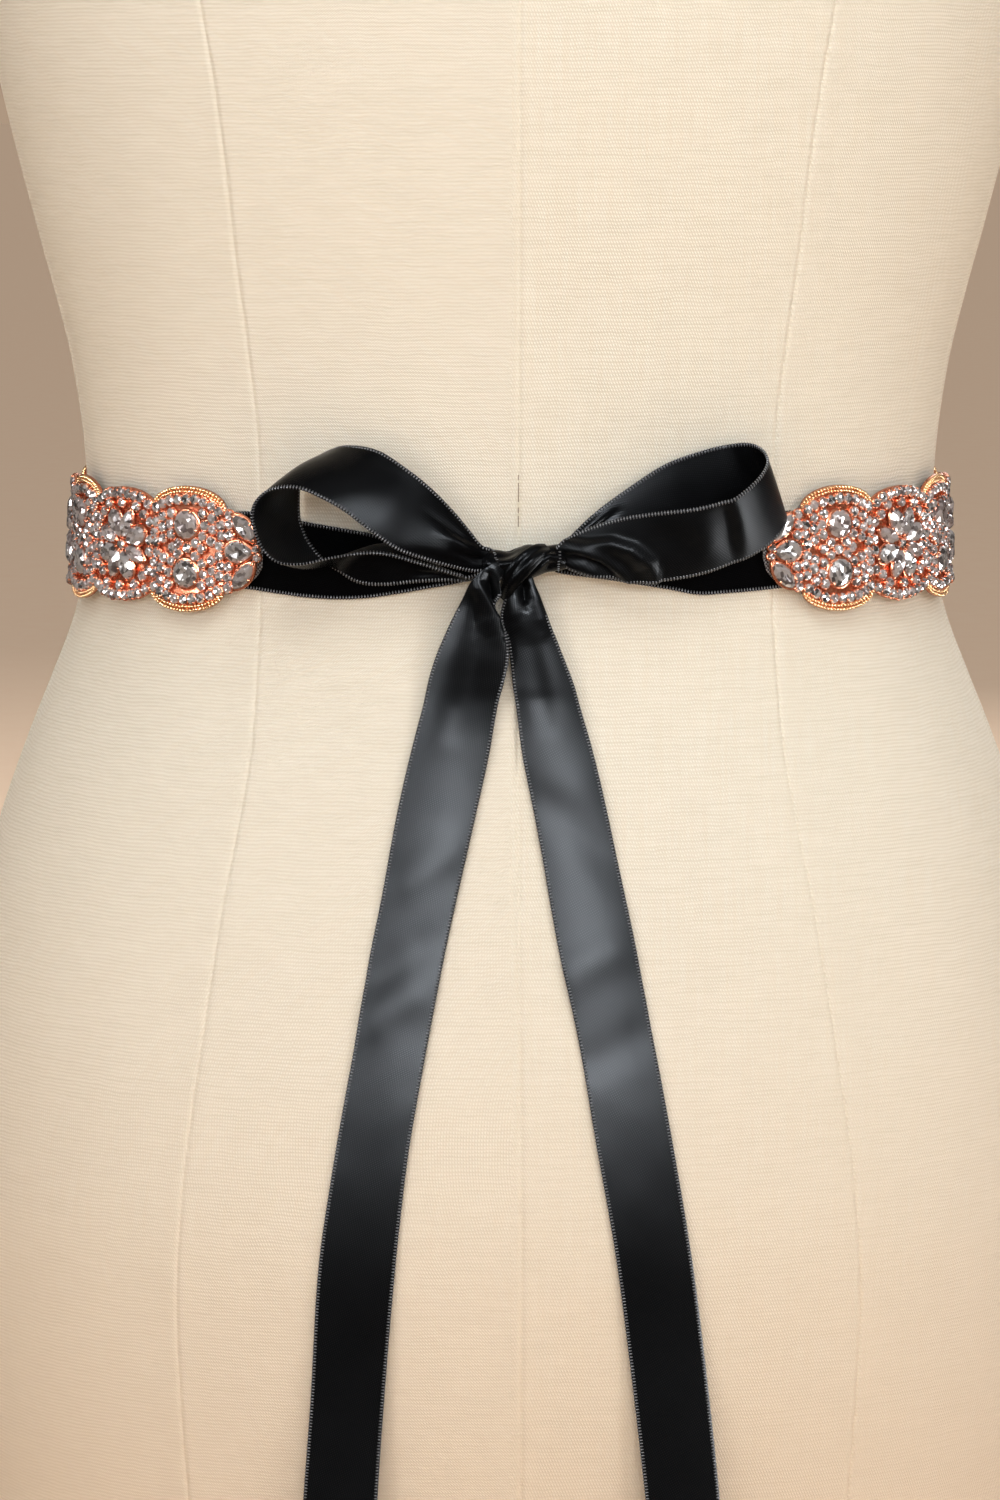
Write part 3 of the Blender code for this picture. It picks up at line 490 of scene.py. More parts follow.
# Colours of the materials.
WHITE = (1.0, 1.0, 1.0, 1)
LINEN_HOLLOW_SHADE, LINEN_CREST_HIGHLIGHT = (0.72, 0.685, 0.575, 1), (0.96, 0.955, 0.875, 1)
LINEN_SLUB = (0.96, 0.93, 0.85, 1)
LINEN_WARP = (0.75, 0.65, 0.49, 1)
LINEN_PATCH = (0.84, 0.75, 0.59, 1)
LINEN_FOOT_SHADE = (0.72, 0.58, 0.43, 1)
LINEN_SHEEN = (1.0, 0.93, 0.82, 1)
SEAM_STITCH = (0.16, 0.10, 0.06, 1)
SATIN_DARK, SATIN_LIGHT = (0.0018, 0.0019, 0.0022, 1), (0.0075, 0.0082, 0.0100, 1)
SATIN_GLEAM = (0.40, 0.435, 0.475, 1)
THREAD_DARK, THREAD_LIGHT = (0.03, 0.031, 0.035, 1), (0.15, 0.155, 0.17, 1)
CRYSTAL_DARK_REFLECTION, CRYSTAL_BRIGHT_REFLECTION = (0.09, 0.09, 0.09, 1), (0.66, 0.65, 0.65, 1)
CRYSTAL_COPPER_REFLECTION = (0.80, 0.58, 0.56, 1)
COPPER_DARK, COPPER_LIGHT = (0.46, 0.105, 0.04, 1), (0.76, 0.33, 0.19, 1)
BEAD_DARK, BEAD_LIGHT = (0.68, 0.34, 0.14, 1), (0.92, 0.64, 0.36, 1)
NET_DARK, NET_LIGHT = (0.045, 0.045, 0.05, 1), (0.34, 0.34, 0.35, 1)
FLOOR_DARK, FLOOR_LIGHT = (0.98, 0.735, 0.545, 1), (1.0, 0.78, 0.59, 1)

# Pitches of the weaves, in metres.
LINEN_ROW_PITCH, LINEN_THREAD_PITCH = 0.00105, 0.00082
SATIN_WARP_PITCH, SATIN_WEFT_PITCH = 0.00072, 0.00066
NET_PITCH = 0.0011


def fill(node, inputs):
    """Links each input of a node to a socket, or sets its value."""
    for key, value in inputs.items():
        if isinstance(value, bpy.types.NodeSocket):
            node.id_data.links.new(value, node.inputs[key])
        else:
            node.inputs[key].default_value = value


def new_material(name):
    """An empty Principled material: the material, its shader and a function that adds nodes."""
    material = bpy.data.materials.new(name)
    material.use_nodes = True
    tree = material.node_tree

    def add(kind, inputs=(), **settings):
        node = tree.nodes.new(kind)
        for key, value in settings.items():
            setattr(node, key, value)
        fill(node, dict(inputs))
        return node

    return material, tree.nodes["Principled BSDF"], add


def sums(add, operation, a, b, c=None):
    """The output of a Math node."""
    inputs = {0: a, 1: b} if c is None else {0: a, 1: b, 2: c}
    return add("ShaderNodeMath", inputs, operation=operation).outputs[0]


def wave(add, value, pitch):
    """A sine from 0 to 1 with a pitch in metres."""
    sine = sums(add, "SINE", sums(add, "MULTIPLY", value, math.tau / pitch), 0.0)
    return sums(add, "MULTIPLY_ADD", sine, 0.5, 0.5)


def mixed(add, factor, first, second):
    """The colour output of a Mix node between two colours."""
    return add("ShaderNodeMix", {0: factor, 6: first, 7: second}, data_type="RGBA").outputs[2]


def grain(add, space, scale, detail=2.0):
    """The value of a Noise node."""
    return add("ShaderNodeTexNoise", {"Vector": space, "Scale": scale, "Detail": detail}).outputs[0]


def scaled(add, space, scales):
    """A space stretched along its axes."""
    return add("ShaderNodeMapping", {"Vector": space, "Scale": scales}).outputs[0]


def ranged(add, value, low, high, most=1.0):
    """A value spread from 0 to the most, between a low and a high one."""
    inputs = {"Value": value, "From Min": low, "From Max": high, "To Max": most}
    return add("ShaderNodeMapRange", inputs).outputs[0]


def bump(add, strength, distance, height):
    """The normal of a Bump node, with its distance in metres."""
    inputs = {"Strength": strength, "Distance": distance, "Height": height}
    return add("ShaderNodeBump", inputs).outputs[0]


def body_space(add):
    """The piece's own coordinates."""
    return add("ShaderNodeTexCoord").outputs["Object"]


def cloth_space(add):
    """The UV in metres, and its two parts."""
    uv = add("ShaderNodeTexCoord").outputs["UV"]
    split = add("ShaderNodeSeparateXYZ", {0: uv})
    return uv, split.outputs[0], split.outputs[1]


def linen_material():
    """Cream linen: ribbed plain weave with slubs and a slow change of tone; painted shade in the weave's
    hollows and towards the foot, and painted highlights on the threads' crests.
    """
    material, shader, add = new_material("cream_linen")
    body = body_space(add)
    uv, across, up = cloth_space(add)
    place = add("ShaderNodeSeparateXYZ", {0: body})
    across_back, height = place.outputs[0], place.outputs[2]
    bent = sums(add, "MULTIPLY_ADD", grain(add, body, 60.0), 0.0016, up)
    bent = sums(add, "MULTIPLY_ADD", grain(add, body, 420.0), 0.0007, bent)
    rows = wave(add, bent, LINEN_ROW_PITCH)
    # Neighbouring rows pass the crossing threads on opposite sides.
    threads = wave(add, sums(add, "MULTIPLY_ADD", bent, 0.42, across), LINEN_THREAD_PITCH)
    weave = sums(add, "MULTIPLY", rows, threads)
    slubs = grain(add, scaled(add, uv, (60.0, 900.0, 1.0)), 1.0, 3.0)
    warps = grain(add, scaled(add, uv, (1100.0, 45.0, 1.0)), 1.0)
    patches = grain(add, body, 5.0)

    # Painted shade in the weave's hollows and painted highlight on its crests, following the weave's height.
    thread = mixed(add, weave, LINEN_HOLLOW_SHADE, LINEN_CREST_HIGHLIGHT)
    tones = ((slubs, 0.34, LINEN_SLUB), (warps, 0.22, LINEN_WARP), (patches, 0.10, LINEN_PATCH))
    for spread, most, colour in tones:
        thread = mixed(add, ranged(add, spread, 0.3, 0.7, most), thread, colour)
    # Painted shade: the cloth is darker and warmer towards the form's foot.
    foot_shade = sums(add, "MULTIPLY", ranged(add, height, 0.31, 0.09), 0.62)
    thread = mixed(add, foot_shade, thread, LINEN_FOOT_SHADE)
    # A few dark stitches show in the seam over the bow.
    near_seam = sums(add, "COMPARE", across_back, 0.0001, 0.00015)
    over_bow = sums(add, "COMPARE", height, WAIST_HEIGHT * MM + 0.0155, 0.0075)
    dashes = grain(add, scaled(add, body, (0.0, 0.0, 420.0)), 1.0, 0.0)
    dash = sums(add, "MULTIPLY", near_seam, over_bow)
    dash = sums(add, "MULTIPLY", dash, sums(add, "GREATER_THAN", dashes, 0.46))
    thread = mixed(add, sums(add, "MULTIPLY", dash, 0.72), thread, SEAM_STITCH)

    fill(shader, {
        "Base Color": thread,
        "Roughness": sums(add, "MULTIPLY_ADD", slubs, 0.12, 0.74),
        "Normal": bump(add, 0.55, 0.00022, sums(add, "MULTIPLY_ADD", slubs, 0.6, weave)),
    })
    shader.inputs["Sheen Weight"].default_value = 0.18
    shader.inputs["Sheen Roughness"].default_value = 0.5
    shader.inputs["Sheen Tint"].default_value = LINEN_SHEEN
    shader.inputs["Specular IOR Level"].default_value = 0.22
    return material


def satin_material(name, base_rough, gloss, anisotropy):
    """Black satin ribbon: fine slanting lines of weave, and a cool sheen broken up by them."""
    material, shader, add = new_material(name)
    body = body_space(add)
    uv, along, side = cloth_space(add)
    warp = wave(add, sums(add, "MULTIPLY_ADD", side, 0.55, along), SATIN_WARP_PITCH)
    weft = wave(add, sums(add, "MULTIPLY_ADD", along, -0.35, side), SATIN_WEFT_PITCH)
    dots = sums(add, "MULTIPLY", warp, weft)
    floats = grain(add, scaled(add, uv, (260.0, 2600.0, 1.0)), 1.0)
    rough = sums(add, "MULTIPLY_ADD", grain(add, body, 26.0), 0.08, base_rough - 0.04)
    fill(shader, {
        "Base Color": mixed(add, sums(add, "MULTIPLY", dots, floats), SATIN_DARK, SATIN_LIGHT),
        "Roughness": sums(add, "MULTIPLY_ADD", dots, -0.05, rough),
        "Normal": bump(add, 0.4, 0.00007, sums(add, "MULTIPLY_ADD", floats, 0.7, dots)),
        "Specular Tint": mixed(add, dots, SATIN_GLEAM, WHITE),
        "Tangent": add("ShaderNodeTangent", direction_type="UV_MAP").outputs[0],
    })
    shader.inputs["Specular IOR Level"].default_value = gloss
    shader.inputs["Anisotropic"].default_value = anisotropy
    shader.inputs["Anisotropic Rotation"].default_value = 0.25
    return material


def thread_material():
    """The glossy stitches of the ribbon's woven edge."""
    material, shader, add = new_material("edge_thread")
    body = body_space(add)
    fibre = grain(add, body, 2600.0)
    fill(shader, {
        "Base Color": mixed(add, fibre, THREAD_DARK, THREAD_LIGHT),
        "Roughness": sums(add, "MULTIPLY_ADD", fibre, 0.2, 0.22),
        "Normal": bump(add, 0.3, 0.00005, fibre),
    })
    shader.inputs["Specular IOR Level"].default_value = 0.8
    return material


def crystal_material():
    """Clear cut stone over its foil: mirror facets under a glassy coat, with painted reflections in its
    colour.
    """
    material, shader, add = new_material("foiled_crystal")
    body = body_space(add)
    cells = add("ShaderNodeTexVoronoi", {"Vector": body, "Scale": 760.0})
    facets = add("ShaderNodeSeparateXYZ", {0: cells.outputs["Color"]})
    stone = add("ShaderNodeNewGeometry").outputs["Random Per Island"]
    # Painted reflections: cells are painted dark or light like reflections inside the facets, and each stone
    # gets a random share of a painted pink reflection of the copper.
    colour = mixed(add, ranged(add, facets.outputs[0], 0.12, 0.6), CRYSTAL_DARK_REFLECTION, CRYSTAL_BRIGHT_REFLECTION)
    fill(shader, {
        "Base Color": mixed(add, sums(add, "MULTIPLY", stone, 0.30), colour, CRYSTAL_COPPER_REFLECTION),
        "Roughness": sums(add, "MULTIPLY_ADD", facets.outputs[1], 0.07, 0.04),
        "Normal": bump(add, 0.25, 0.0001, facets.outputs[2]),
    })
    shader.inputs["Metallic"].default_value = 0.5
    shader.inputs["Coat Weight"].default_value = 0.8
    shader.inputs["Coat Roughness"].default_value = 0.02
    return material


def metal_material(name, dark, light, roughness, scale):
    """Plated metal, mottled at random between a darker and a lighter colour."""
    material, shader, add = new_material(name)
    body = body_space(add)
    mottle = grain(add, body, scale, 3.0)
    part = ranged(add, mottle, 0.35, 0.65)
    fill(shader, {
        "Base Color": mixed(add, part, dark, light),
        "Roughness": sums(add, "MULTIPLY_ADD", part, -0.08, roughness),
        "Normal": bump(add, 0.35, 0.00008, mottle),
    })
    shader.inputs["Metallic"].default_value = 0.72
    return material


def mesh_material():
    """Clear nylon mesh that carries the jewels: a fine grey net."""
    material, shader, add = new_material("clear_net")
    _, along, up = cloth_space(add)
    one = wave(add, sums(add, "ADD", along, up), NET_PITCH)
    two = wave(add, sums(add, "SUBTRACT", along, up), NET_PITCH)
    line = ranged(add, sums(add, "MAXIMUM", one, two), 0.72, 0.95)
    fill(shader, {
        "Base Color": mixed(add, line, NET_DARK, NET_LIGHT),
        "Normal": bump(add, 0.4, 0.0001, line),
    })
    shader.inputs["Roughness"].default_value = 0.35
    shader.inputs["Specular IOR Level"].default_value = 0.6
    shader.inputs["Alpha"].default_value = 0.72
    return material


def floor_material():
    """The pale matt ground under the form."""
    material, shader, add = new_material("pale_floor")
    body = body_space(add)
    fill(shader, {"Base Color": mixed(add, grain(add, body, 40.0), FLOOR_DARK, FLOOR_LIGHT)})
    shader.inputs["Roughness"].default_value = 0.8
    shader.inputs["Specular IOR Level"].default_value = 0.0
    return material


LINEN = linen_material()
SATIN = satin_material("black_satin_face", 0.22, 0.10, 0.72)
SATIN_TAIL = satin_material("black_satin_tail", 0.36, 0.235, 0.5)
SATIN_BAND = satin_material("black_satin_band", 0.24, 0.0, 0.72)
SATIN_BACK = satin_material("black_satin_back", 0.40, 0.14, 0.3)
THREAD = thread_material()
CRYSTAL = crystal_material()
COPPER = metal_material("rose_gold", COPPER_DARK, COPPER_LIGHT, 0.27, 1500.0)
BEAD = metal_material("gold_bead", BEAD_DARK, BEAD_LIGHT, 0.22, 1100.0)
NET = mesh_material()


# Helpers that build pieces.
def piece(name, mesh, materials, smooth=True):
    """A new object from a bmesh, which it frees. Without smooth, faces keep their own shading."""
    for face in mesh.faces:
        face.smooth = face.smooth or smooth
    data = bpy.data.meshes.new(name)
    mesh.to_mesh(data)
    mesh.free()
    for material in materials:
        data.materials.append(material)
    item = bpy.data.objects.new(name, data)
    bpy.context.scene.collection.objects.link(item)
    return item


def stand_for(node, slot, *items):
    """Items that ride on the root body in place of a CAD node."""
    for item in items:
        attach(item, "root")
        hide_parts(node)


def turns_round(sides):
    """Equal turns once round a ring."""
    return [math.tau * side / sides for side in range(sides)]


def band(mesh, low, high):
    """Quads between two rings of vertices."""
    count = len(low)
    return [
        mesh.faces.new((low[k], low[(k + 1) % count], high[(k + 1) % count], high[k]))
        for k in range(count)
    ]


def cone(mesh, ring, tip):
    """Triangles from a ring of vertices to one vertex."""
    count = len(ring)
    return [mesh.faces.new((ring[k], ring[(k + 1) % count], tip)) for k in range(count)]


def lay_faces(mesh, points, uvs):
    """Faces through a grid of points; rows with one more UV than points close into rings."""
    layer = mesh.loops.layers.uv.new("UVMap")
    verts = [[mesh.verts.new(point) for point in row] for row in points]
    columns = len(points[0])
    for row in range(len(points) - 1):
        for column in range(len(uvs[0]) - 1):
            corners = ((row, column), (row, column + 1), (row + 1, column + 1), (row + 1, column))
            face = mesh.faces.new([verts[a][b % columns] for a, b in corners])
            for loop, (a, b) in zip(face.loops, corners):
                loop[layer].uv = uvs[a][b]
    return verts, layer


def grid_piece(name, points, uvs, materials, thickness):
    """A sheet through a grid of points, with its UV in metres and a wall of one thickness."""
    mesh = bmesh.new()
    lay_faces(mesh, points, uvs)
    item = piece(name, mesh, materials)
    wall = item.modifiers.new("cloth", "SOLIDIFY")
    wall.thickness = thickness * MM
    wall.offset = 0.0
    wall.use_even_offset = True
    if len(materials) > 1:
        wall.material_offset = 1
    return item


def fold_lift(folds, place, x, height):
    """How far the listed folds lift a point, in millimetres."""
    total = 0.0
    for first, last, left, right, rise, line in folds:
        if not first <= place <= last:
            continue
        best, signed, reached = math.inf, 0.0, 0.0
        lengths = [math.dist(a, b) for a, b in zip(line, line[1:])]
        travelled = 0.0
        for (ax, ay), (bx, by), length in zip(line, line[1:], lengths):
            run_x, run_y = (bx - ax) / length, (by - ay) / length
            along = min(length, max(0.0, (x - ax) * run_x + (height - ay) * run_y))
            away = math.hypot(x - ax - along * run_x, height - ay - along * run_y)
            if away < best:
                best, reached = away, travelled + along
                signed = run_x * (height - ay) - run_y * (x - ax)
            travelled += length
        # A fold fades at both ends of its line, and in the first and last rows that it acts on.
        part = reached / travelled
        fade = min(1.0, (0.15 + part) / 0.4, (1.15 - part) / 0.4)
        edge = min(1.0, (place - first + 0.2) / 1.2, (last + 0.2 - place) / 1.2)
        width = left if signed > 0 else right
        total += rise * fade * max(0.0, edge) * math.exp(-(best / width) ** 2)
    return total


# How fast a fold turns over where the ribbon stands on edge, and its small unevenness.
FOLD_TURN = 2.5
RIPPLE, RIPPLE_SCALE = 0.12, 95.0


def ribbon_grid(rows, folds, steps_along, steps_across):
    """Points and UVs of a ribbon whose table gives its two edges and its belly."""
    count = (len(rows) - 1) * steps_along
    points = []
    for step in range(count + 1):
        place = step / steps_along
        row = smooth_row(rows, place)
        near, far = back_point(*row[0:3]), back_point(*row[3:6])
        belly = Vector((0.0, -row[7] * MM, row[6] * MM))
        line = []
        for column in range(steps_across + 1):
            part = column / steps_across
            line.append(near.lerp(far, part) + belly * (4 * part * (1 - part)))
        points.append(line)
    # Folds move each point along the ribbon's own normal, towards the side that shows.
    moved = []
    for step, line in enumerate(points):
        place = step / steps_along
        before, after = points[max(step - 1, 0)], points[min(step + 1, count)]
        new_line = []
        for column, point in enumerate(line):
            run = after[column] - before[column]
            cross = line[min(column + 1, steps_across)] - line[max(column - 1, 0)]
            normal = run.cross(cross).normalized()
            facing = -math.copysign(min(1.0, abs(normal.y) * FOLD_TURN), normal.y)
            lift = fold_lift(folds, place, point.x / MM, point.z / MM - WAIST_HEIGHT)
            lift += RIPPLE * noise.noise(point * RIPPLE_SCALE)
            new_line.append(point + normal * (lift * facing * MM))
        moved.append(new_line)
    uvs = []
    along = 0.0
    for step, line in enumerate(moved):
        if step:
            along += (line[steps_across // 2] - moved[step - 1][steps_across // 2]).length
        across = 0.0
        row = [(along, 0.0)]
        for start, end in zip(line, line[1:]):
            across += (end - start).length
            row.append((along, across))
        uvs.append(row)
    return moved, uvs


RIBBON_STEPS, RIBBON_ACROSS = 10, 28
# Stitches: pitch, half sizes, sides, distance in from the edge, and length before the first one.
STITCH_PITCH = 0.92
STITCH_SIZE = (0.26, 0.74, 0.44)
STITCH_SIDES = 6
STITCH_INSET = 0.40
FIRST_STITCH = 0.3


def add_stitch_rows(name, edges, size=1.0):
    """Rows of small stitches over edges, each a list of edge points and points inside them."""
    mesh = bmesh.new()
    for edge in edges:
        travelled, wanted = 0.0, FIRST_STITCH
        for (start, start_in), (end, end_in) in zip(edge, edge[1:]):
            length = (end - start).length / MM
            while wanted <= travelled + length:
                part = (wanted - travelled) / length
                place = start.lerp(end, part)
                run = (end - start).normalized()
                inward = (start_in.lerp(end_in, part) - place).normalized()
                out = run.cross(inward).normalized()
                inward = out.cross(run).normalized()
                matrix = Matrix((run, inward, out)).transposed().to_4x4()
                matrix.translation = place + inward * (STITCH_INSET * MM)
                add_stitch(mesh, matrix @ Matrix.Scale(size, 4))
                wanted += STITCH_PITCH
            travelled += length
    return piece(name, mesh, [THREAD])


def add_stitches(name, points, first_steps=(0, 0)):
    """The stitched edges of a ribbon, from its grid of points."""
    edges = [
        [(line[edge], line[inner]) for line in points[first:]]
        for first, (edge, inner) in zip(first_steps, ((0, 1), (-1, -2)))
    ]
    return add_stitch_rows(name, edges)


def add_stitch(mesh, matrix):
    """One stitch: a low oval bead, six-sided in plan."""
    wide, long, thick = (size * MM for size in STITCH_SIZE)
    rings = []
    for level in (-0.5, 0.5):
        ring = []
        for turn in turns_round(STITCH_SIDES):
            across, along = wide * 0.9 * math.cos(turn), long * 0.9 * math.sin(turn)
            ring.append(mesh.verts.new(matrix @ Vector((across, along, level * thick))))
        rings.append(ring)
    foot, head = [mesh.verts.new(matrix @ Vector((0, 0, level * thick))) for level in (-1.0, 1.0)]
    band(mesh, rings[0], rings[1])
    cone(mesh, list(reversed(rings[0])), foot)
    cone(mesh, rings[1], head)


def sew(name, node, points, uvs, satins, first_steps=(0, 0)):
    """A ribbon with stitched edges that stands for a CAD node."""
    cloth = grid_piece(name, points, uvs, satins, CLOTH_THICK)
    stitches = add_stitches(f"{name}_edge", points, first_steps)
    stand_for(node, "black_satin", cloth, stitches)


def ribbon(name, node, rows, folds, first_stitched=(0, 0)):
    """A loop or a tail of the bow; its edges are stitched from the given rows of its table on."""
    points, uvs = ribbon_grid(rows, folds, RIBBON_STEPS, RIBBON_ACROSS)
    satins = [SATIN_TAIL, SATIN_TAIL] if "tail" in name else [SATIN, SATIN_BACK]
    first_steps = [RIBBON_STEPS * row for row in first_stitched]
    sew(name, node, points, uvs, satins, first_steps)


# The camera.
CAMERA_DISTANCE = 1.4
CAMERA_LENS, SENSOR_HEIGHT = 117.0, 36.0
CAMERA_AZIMUTH = math.radians(-1.5)
CAMERA_ELEVATION = math.radians(5.5)
BACK_OF_WAIST = (0.0, -0.088, 0.370)
AIM_SHIFT = (-0.0052, 0.0, -0.0565)


def add_camera():
    """The photograph's camera: a little above the waist, with shoulders and foot out of frame."""
    level = math.cos(CAMERA_ELEVATION)
    way = Vector((
        -math.sin(CAMERA_AZIMUTH) * level,
        math.cos(CAMERA_AZIMUTH) * level,
        -math.sin(CAMERA_ELEVATION),
    ))
    waist = Vector(BACK_OF_WAIST)
    data = bpy.data.cameras.new("camera")
    data.sensor_fit = "VERTICAL"
    data.sensor_height = SENSOR_HEIGHT
    data.lens = CAMERA_LENS
    item = bpy.data.objects.new("camera", data)
    bpy.context.scene.collection.objects.link(item)
    item.location = waist - way * CAMERA_DISTANCE
    aim = waist + Vector(AIM_SHIFT)
    item.rotation_mode = "QUATERNION"
    item.rotation_quaternion = (aim - item.location).to_track_quat("-Z", "Y")
    bpy.context.scene.camera = item


add_camera()


# The dress form.
# Seams of the cloth, across them: distance from the seam, and height off the form.
SEAM_PROFILE = ((-2.6, 0.0), (-1.5, 0.10), (-0.75, -0.02), (-0.3, -0.38), (0.0, -0.62),
                (0.3, -0.38), (0.75, -0.02), (1.5, 0.10), (2.6, 0.0))
SIDE_PROFILE = ((-3.2, 0.0), (-1.9, 0.25), (-1.0, 0.75), (-0.4, 0.55), (0.0, 0.20),
                (0.4, 0.55), (1.0, 0.75), (1.9, 0.25), (3.2, 0.0))
SIDE_SEAM = math.radians(86.5)
PANEL_COLUMNS = 15
FORM_STEP = 3.6
SHOULDER_START = 330.0
# How far the cloth's lowest rows are turned in under the foot.
HEM_TURNS, HEM_RADIUS = (10.0, 3.5, 1.4, 0.4), 3.5
SEAMS_FADE, SEAMS_END = 366.0, 392.0
# Where the centre seam of the back gapes a little, over the knot.
GAPE_HEIGHT, GAPE_REACH = 12.0, 8.0


def seam_turns(section, height):
    """Turns of the eight seams at a height, from the centre back round by +X."""
    wander = 0.25 * math.sin(height * 0.021)
    back, front = table_value(BACK_SEAM, height), table_value(FRONT_SEAM, height)
    return (
        (turn_of(section, 0.001 + wander, False), SEAM_PROFILE),
        (turn_of(section, back, False), SEAM_PROFILE),
        (SIDE_SEAM, SIDE_PROFILE),
        (turn_of(section, front, True), SEAM_PROFILE),
        (math.pi, SEAM_PROFILE),
        (math.tau + turn_of(section, -front, True), SEAM_PROFILE),
        (math.tau - SIDE_SEAM, SIDE_PROFILE),
        (math.tau + turn_of(section, -back, False), SEAM_PROFILE),
    )


def seam_reach(section, turn, height):
    """How many millimetres one radian of turn carries a point near a seam."""
    before = section_point(section, turn - 0.01, height, 0.0)
    beyond = section_point(section, turn + 0.01, height, 0.0)
    return max(8.0, math.dist(before, beyond) / 0.02)


def form_ring(height):
    """Points and UVs of one row of the form's cloth, with its seams let in."""
    section = form_section(height)
    seams = seam_turns(section, height)
    columns = []
    for index, (turn, profile) in enumerate(seams):
        after, profile_after = seams[(index + 1) % len(seams)]
        if index == len(seams) - 1:
            after += math.tau
        reach, reach_after = (seam_reach(section, each, height) for each in (turn, after))
        for offset, depth in profile:
            columns.append((turn + offset / reach, depth, index))
        start = turn + profile[-1][0] / reach
        end = after - profile_after[-1][0] / reach_after
        for step in range(1, PANEL_COLUMNS):
            columns.append((start + (end - start) * step / PANEL_COLUMNS, 0.0, index))
    points, uvs = [], []
    along = 0.0
    last = None
    gape = max(0.0, 1 - abs((height - GAPE_HEIGHT) / GAPE_REACH))
    for turn, depth, index in columns:
        out = depth
        if index == 0 and depth < -0.1:
            out *= 1 + 1.6 * gape
        if height > SEAMS_FADE:
            out *= max(0.0, (SEAMS_END - height) / (SEAMS_END - SEAMS_FADE))
        x, y = section_point(section, turn, height, out)
        flat = section_point(section, turn, height, 0.0)
        if last is not None:
            along += math.dist(flat, last)
        last = flat
        points.append(world(x, y, height))
        uvs.append((along * MM, height * MM))
    return points, uvs


def add_form():
    """The form's body in linen, turned in under its foot."""
    foot, top = FORM_ROWS[0][0], FORM_ROWS[-1][0]
    rings, uvs = [], []
    for turned in HEM_TURNS:
        ring, uv = form_ring(foot)
        rise = max(0.0, HEM_RADIUS - turned) * 0.22 * MM
        pulled = []
        for point in ring:
            inward = Vector((point.x, point.y, 0.0)).normalized() * (turned * MM)
            pulled.append(point - inward + Vector((0.0, 0.0, rise)))
        rings.append(pulled)
        uvs.append([(u, v - turned * MM) for u, v in uv])
    heights = []
    height = foot + FORM_STEP
    while height < top:
        heights.append(height)
        height += FORM_STEP if height < SHOULDER_START else FORM_STEP * 0.6
    for height in heights + [top]:
        ring, uv = form_ring(height)
        rings.append(ring)
        uvs.append(uv)
    for ring, uv in zip(rings, uvs):
        uv.append((uv[-1][0] + (ring[0] - ring[-1]).length, uv[-1][1]))
    mesh = bmesh.new()
    verts, layer = lay_faces(mesh, rings, uvs)
    for ring in (list(reversed(verts[0])), verts[-1]):
        for loop in mesh.faces.new(ring).loops:
            loop[layer].uv = (loop.vert.co.x, loop.vert.co.y)
    stand_for("form_body", "linen", piece("form_torso", mesh, [LINEN]))


def box_uvs(item):
    """UVs in metres for a small part, from its faces' own directions."""
    data = item.data
    layer = data.uv_layers.new(name="UVMap")
    for face in data.polygons:
        normal = face.normal
        axis = max(range(3), key=lambda k: abs(normal[k]))
        first, second = [k for k in range(3) if k != axis]
        for index in face.loop_indices:
            point = data.vertices[data.loops[index].vertex_index].co
            layer.data[index].uv = (point[first], point[second])


DISC_SIDES = 96
# A disc's outline: share of its radius, and level as a share of its thickness.
DISC_PROFILE = (
    (0.35, 0.50), (0.7, 0.49), (0.86, 0.47), (0.93, 0.40), (0.955, 0.34), (0.975, 0.42),
    (0.992, 0.30), (1.0, 0.0), (0.992, -0.30), (0.975, -0.42), (0.955, -0.40), (0.90, -0.5),
)


def dished_disc(name, node, turned, radii, thickness, centre):
    """A padded, cloth-covered disc with a rounded, piped edge."""
    mesh = bmesh.new()
    rings = []
    for reach, level in DISC_PROFILE:
        ring = []
        for turn in turns_round(DISC_SIDES):
            a = radii[0] * reach * math.cos(turn) * MM
            b = radii[1] * reach * math.sin(turn) * MM
            c = level * thickness * MM
            ring.append(mesh.verts.new(turned @ Vector((a, b, c)) + centre))
        rings.append(ring)
    for low, high in zip(rings, rings[1:]):
        band(mesh, high, low)
    mesh.faces.new(rings[0])
    mesh.faces.new(list(reversed(rings[-1])))
    bmesh.ops.recalc_face_normals(mesh, faces=mesh.faces)
    item = piece(name, mesh, [LINEN])
    box_uvs(item)
    stand_for(node, "linen", item)


def add_caps():
    """The discs over the armholes and the neck, in the places of their CAD nodes."""
    for name, node, degrees in (
        ("arm_disc_left", "arm_plate_left", -90.0), ("arm_disc_right", "arm_plate_right", 90.0),
        ("neck_disc", "neck_cap", 0.0),
    ):
        low, high = (Vector(corner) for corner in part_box(node))
        size = (high - low) / MM
        wide, thick = (size.z, size.x) if degrees else (size.x, size.z)
        turned = Matrix.Rotation(math.radians(degrees), 3, "Y")
        dished_disc(name, node, turned, (wide / 2, size.y / 2), thick, (low + high) / 2)


add_form()
add_caps()


# The ribbons.
def add_back_ribbon(name, node, rows, folds):
    """The flat stretch of ribbon that lies on the form's back."""
    steps_along, steps_across = 8, 20
    points, uvs = [], []
    along = 0.0
    for step in range((len(rows) - 1) * steps_along + 1):
        place = step / steps_along
        x, top, bottom, lift = smooth_row(rows, place)
        line = []
        for column in range(steps_across + 1):
            height = bottom + (top - bottom) * (column / steps_across)
            line.append(back_point(x, height, lift + fold_lift(folds, place, x, height)))
        if points:
            along += (line[steps_across // 2] - points[-1][steps_across // 2]).length
        points.append(line)
        uvs.append([(along, (top - bottom) * MM * k / steps_across) for k in range(steps_across + 1)])
    satins = [SATIN_BAND, SATIN_BAND]
    sew(name, node, points, uvs, satins)


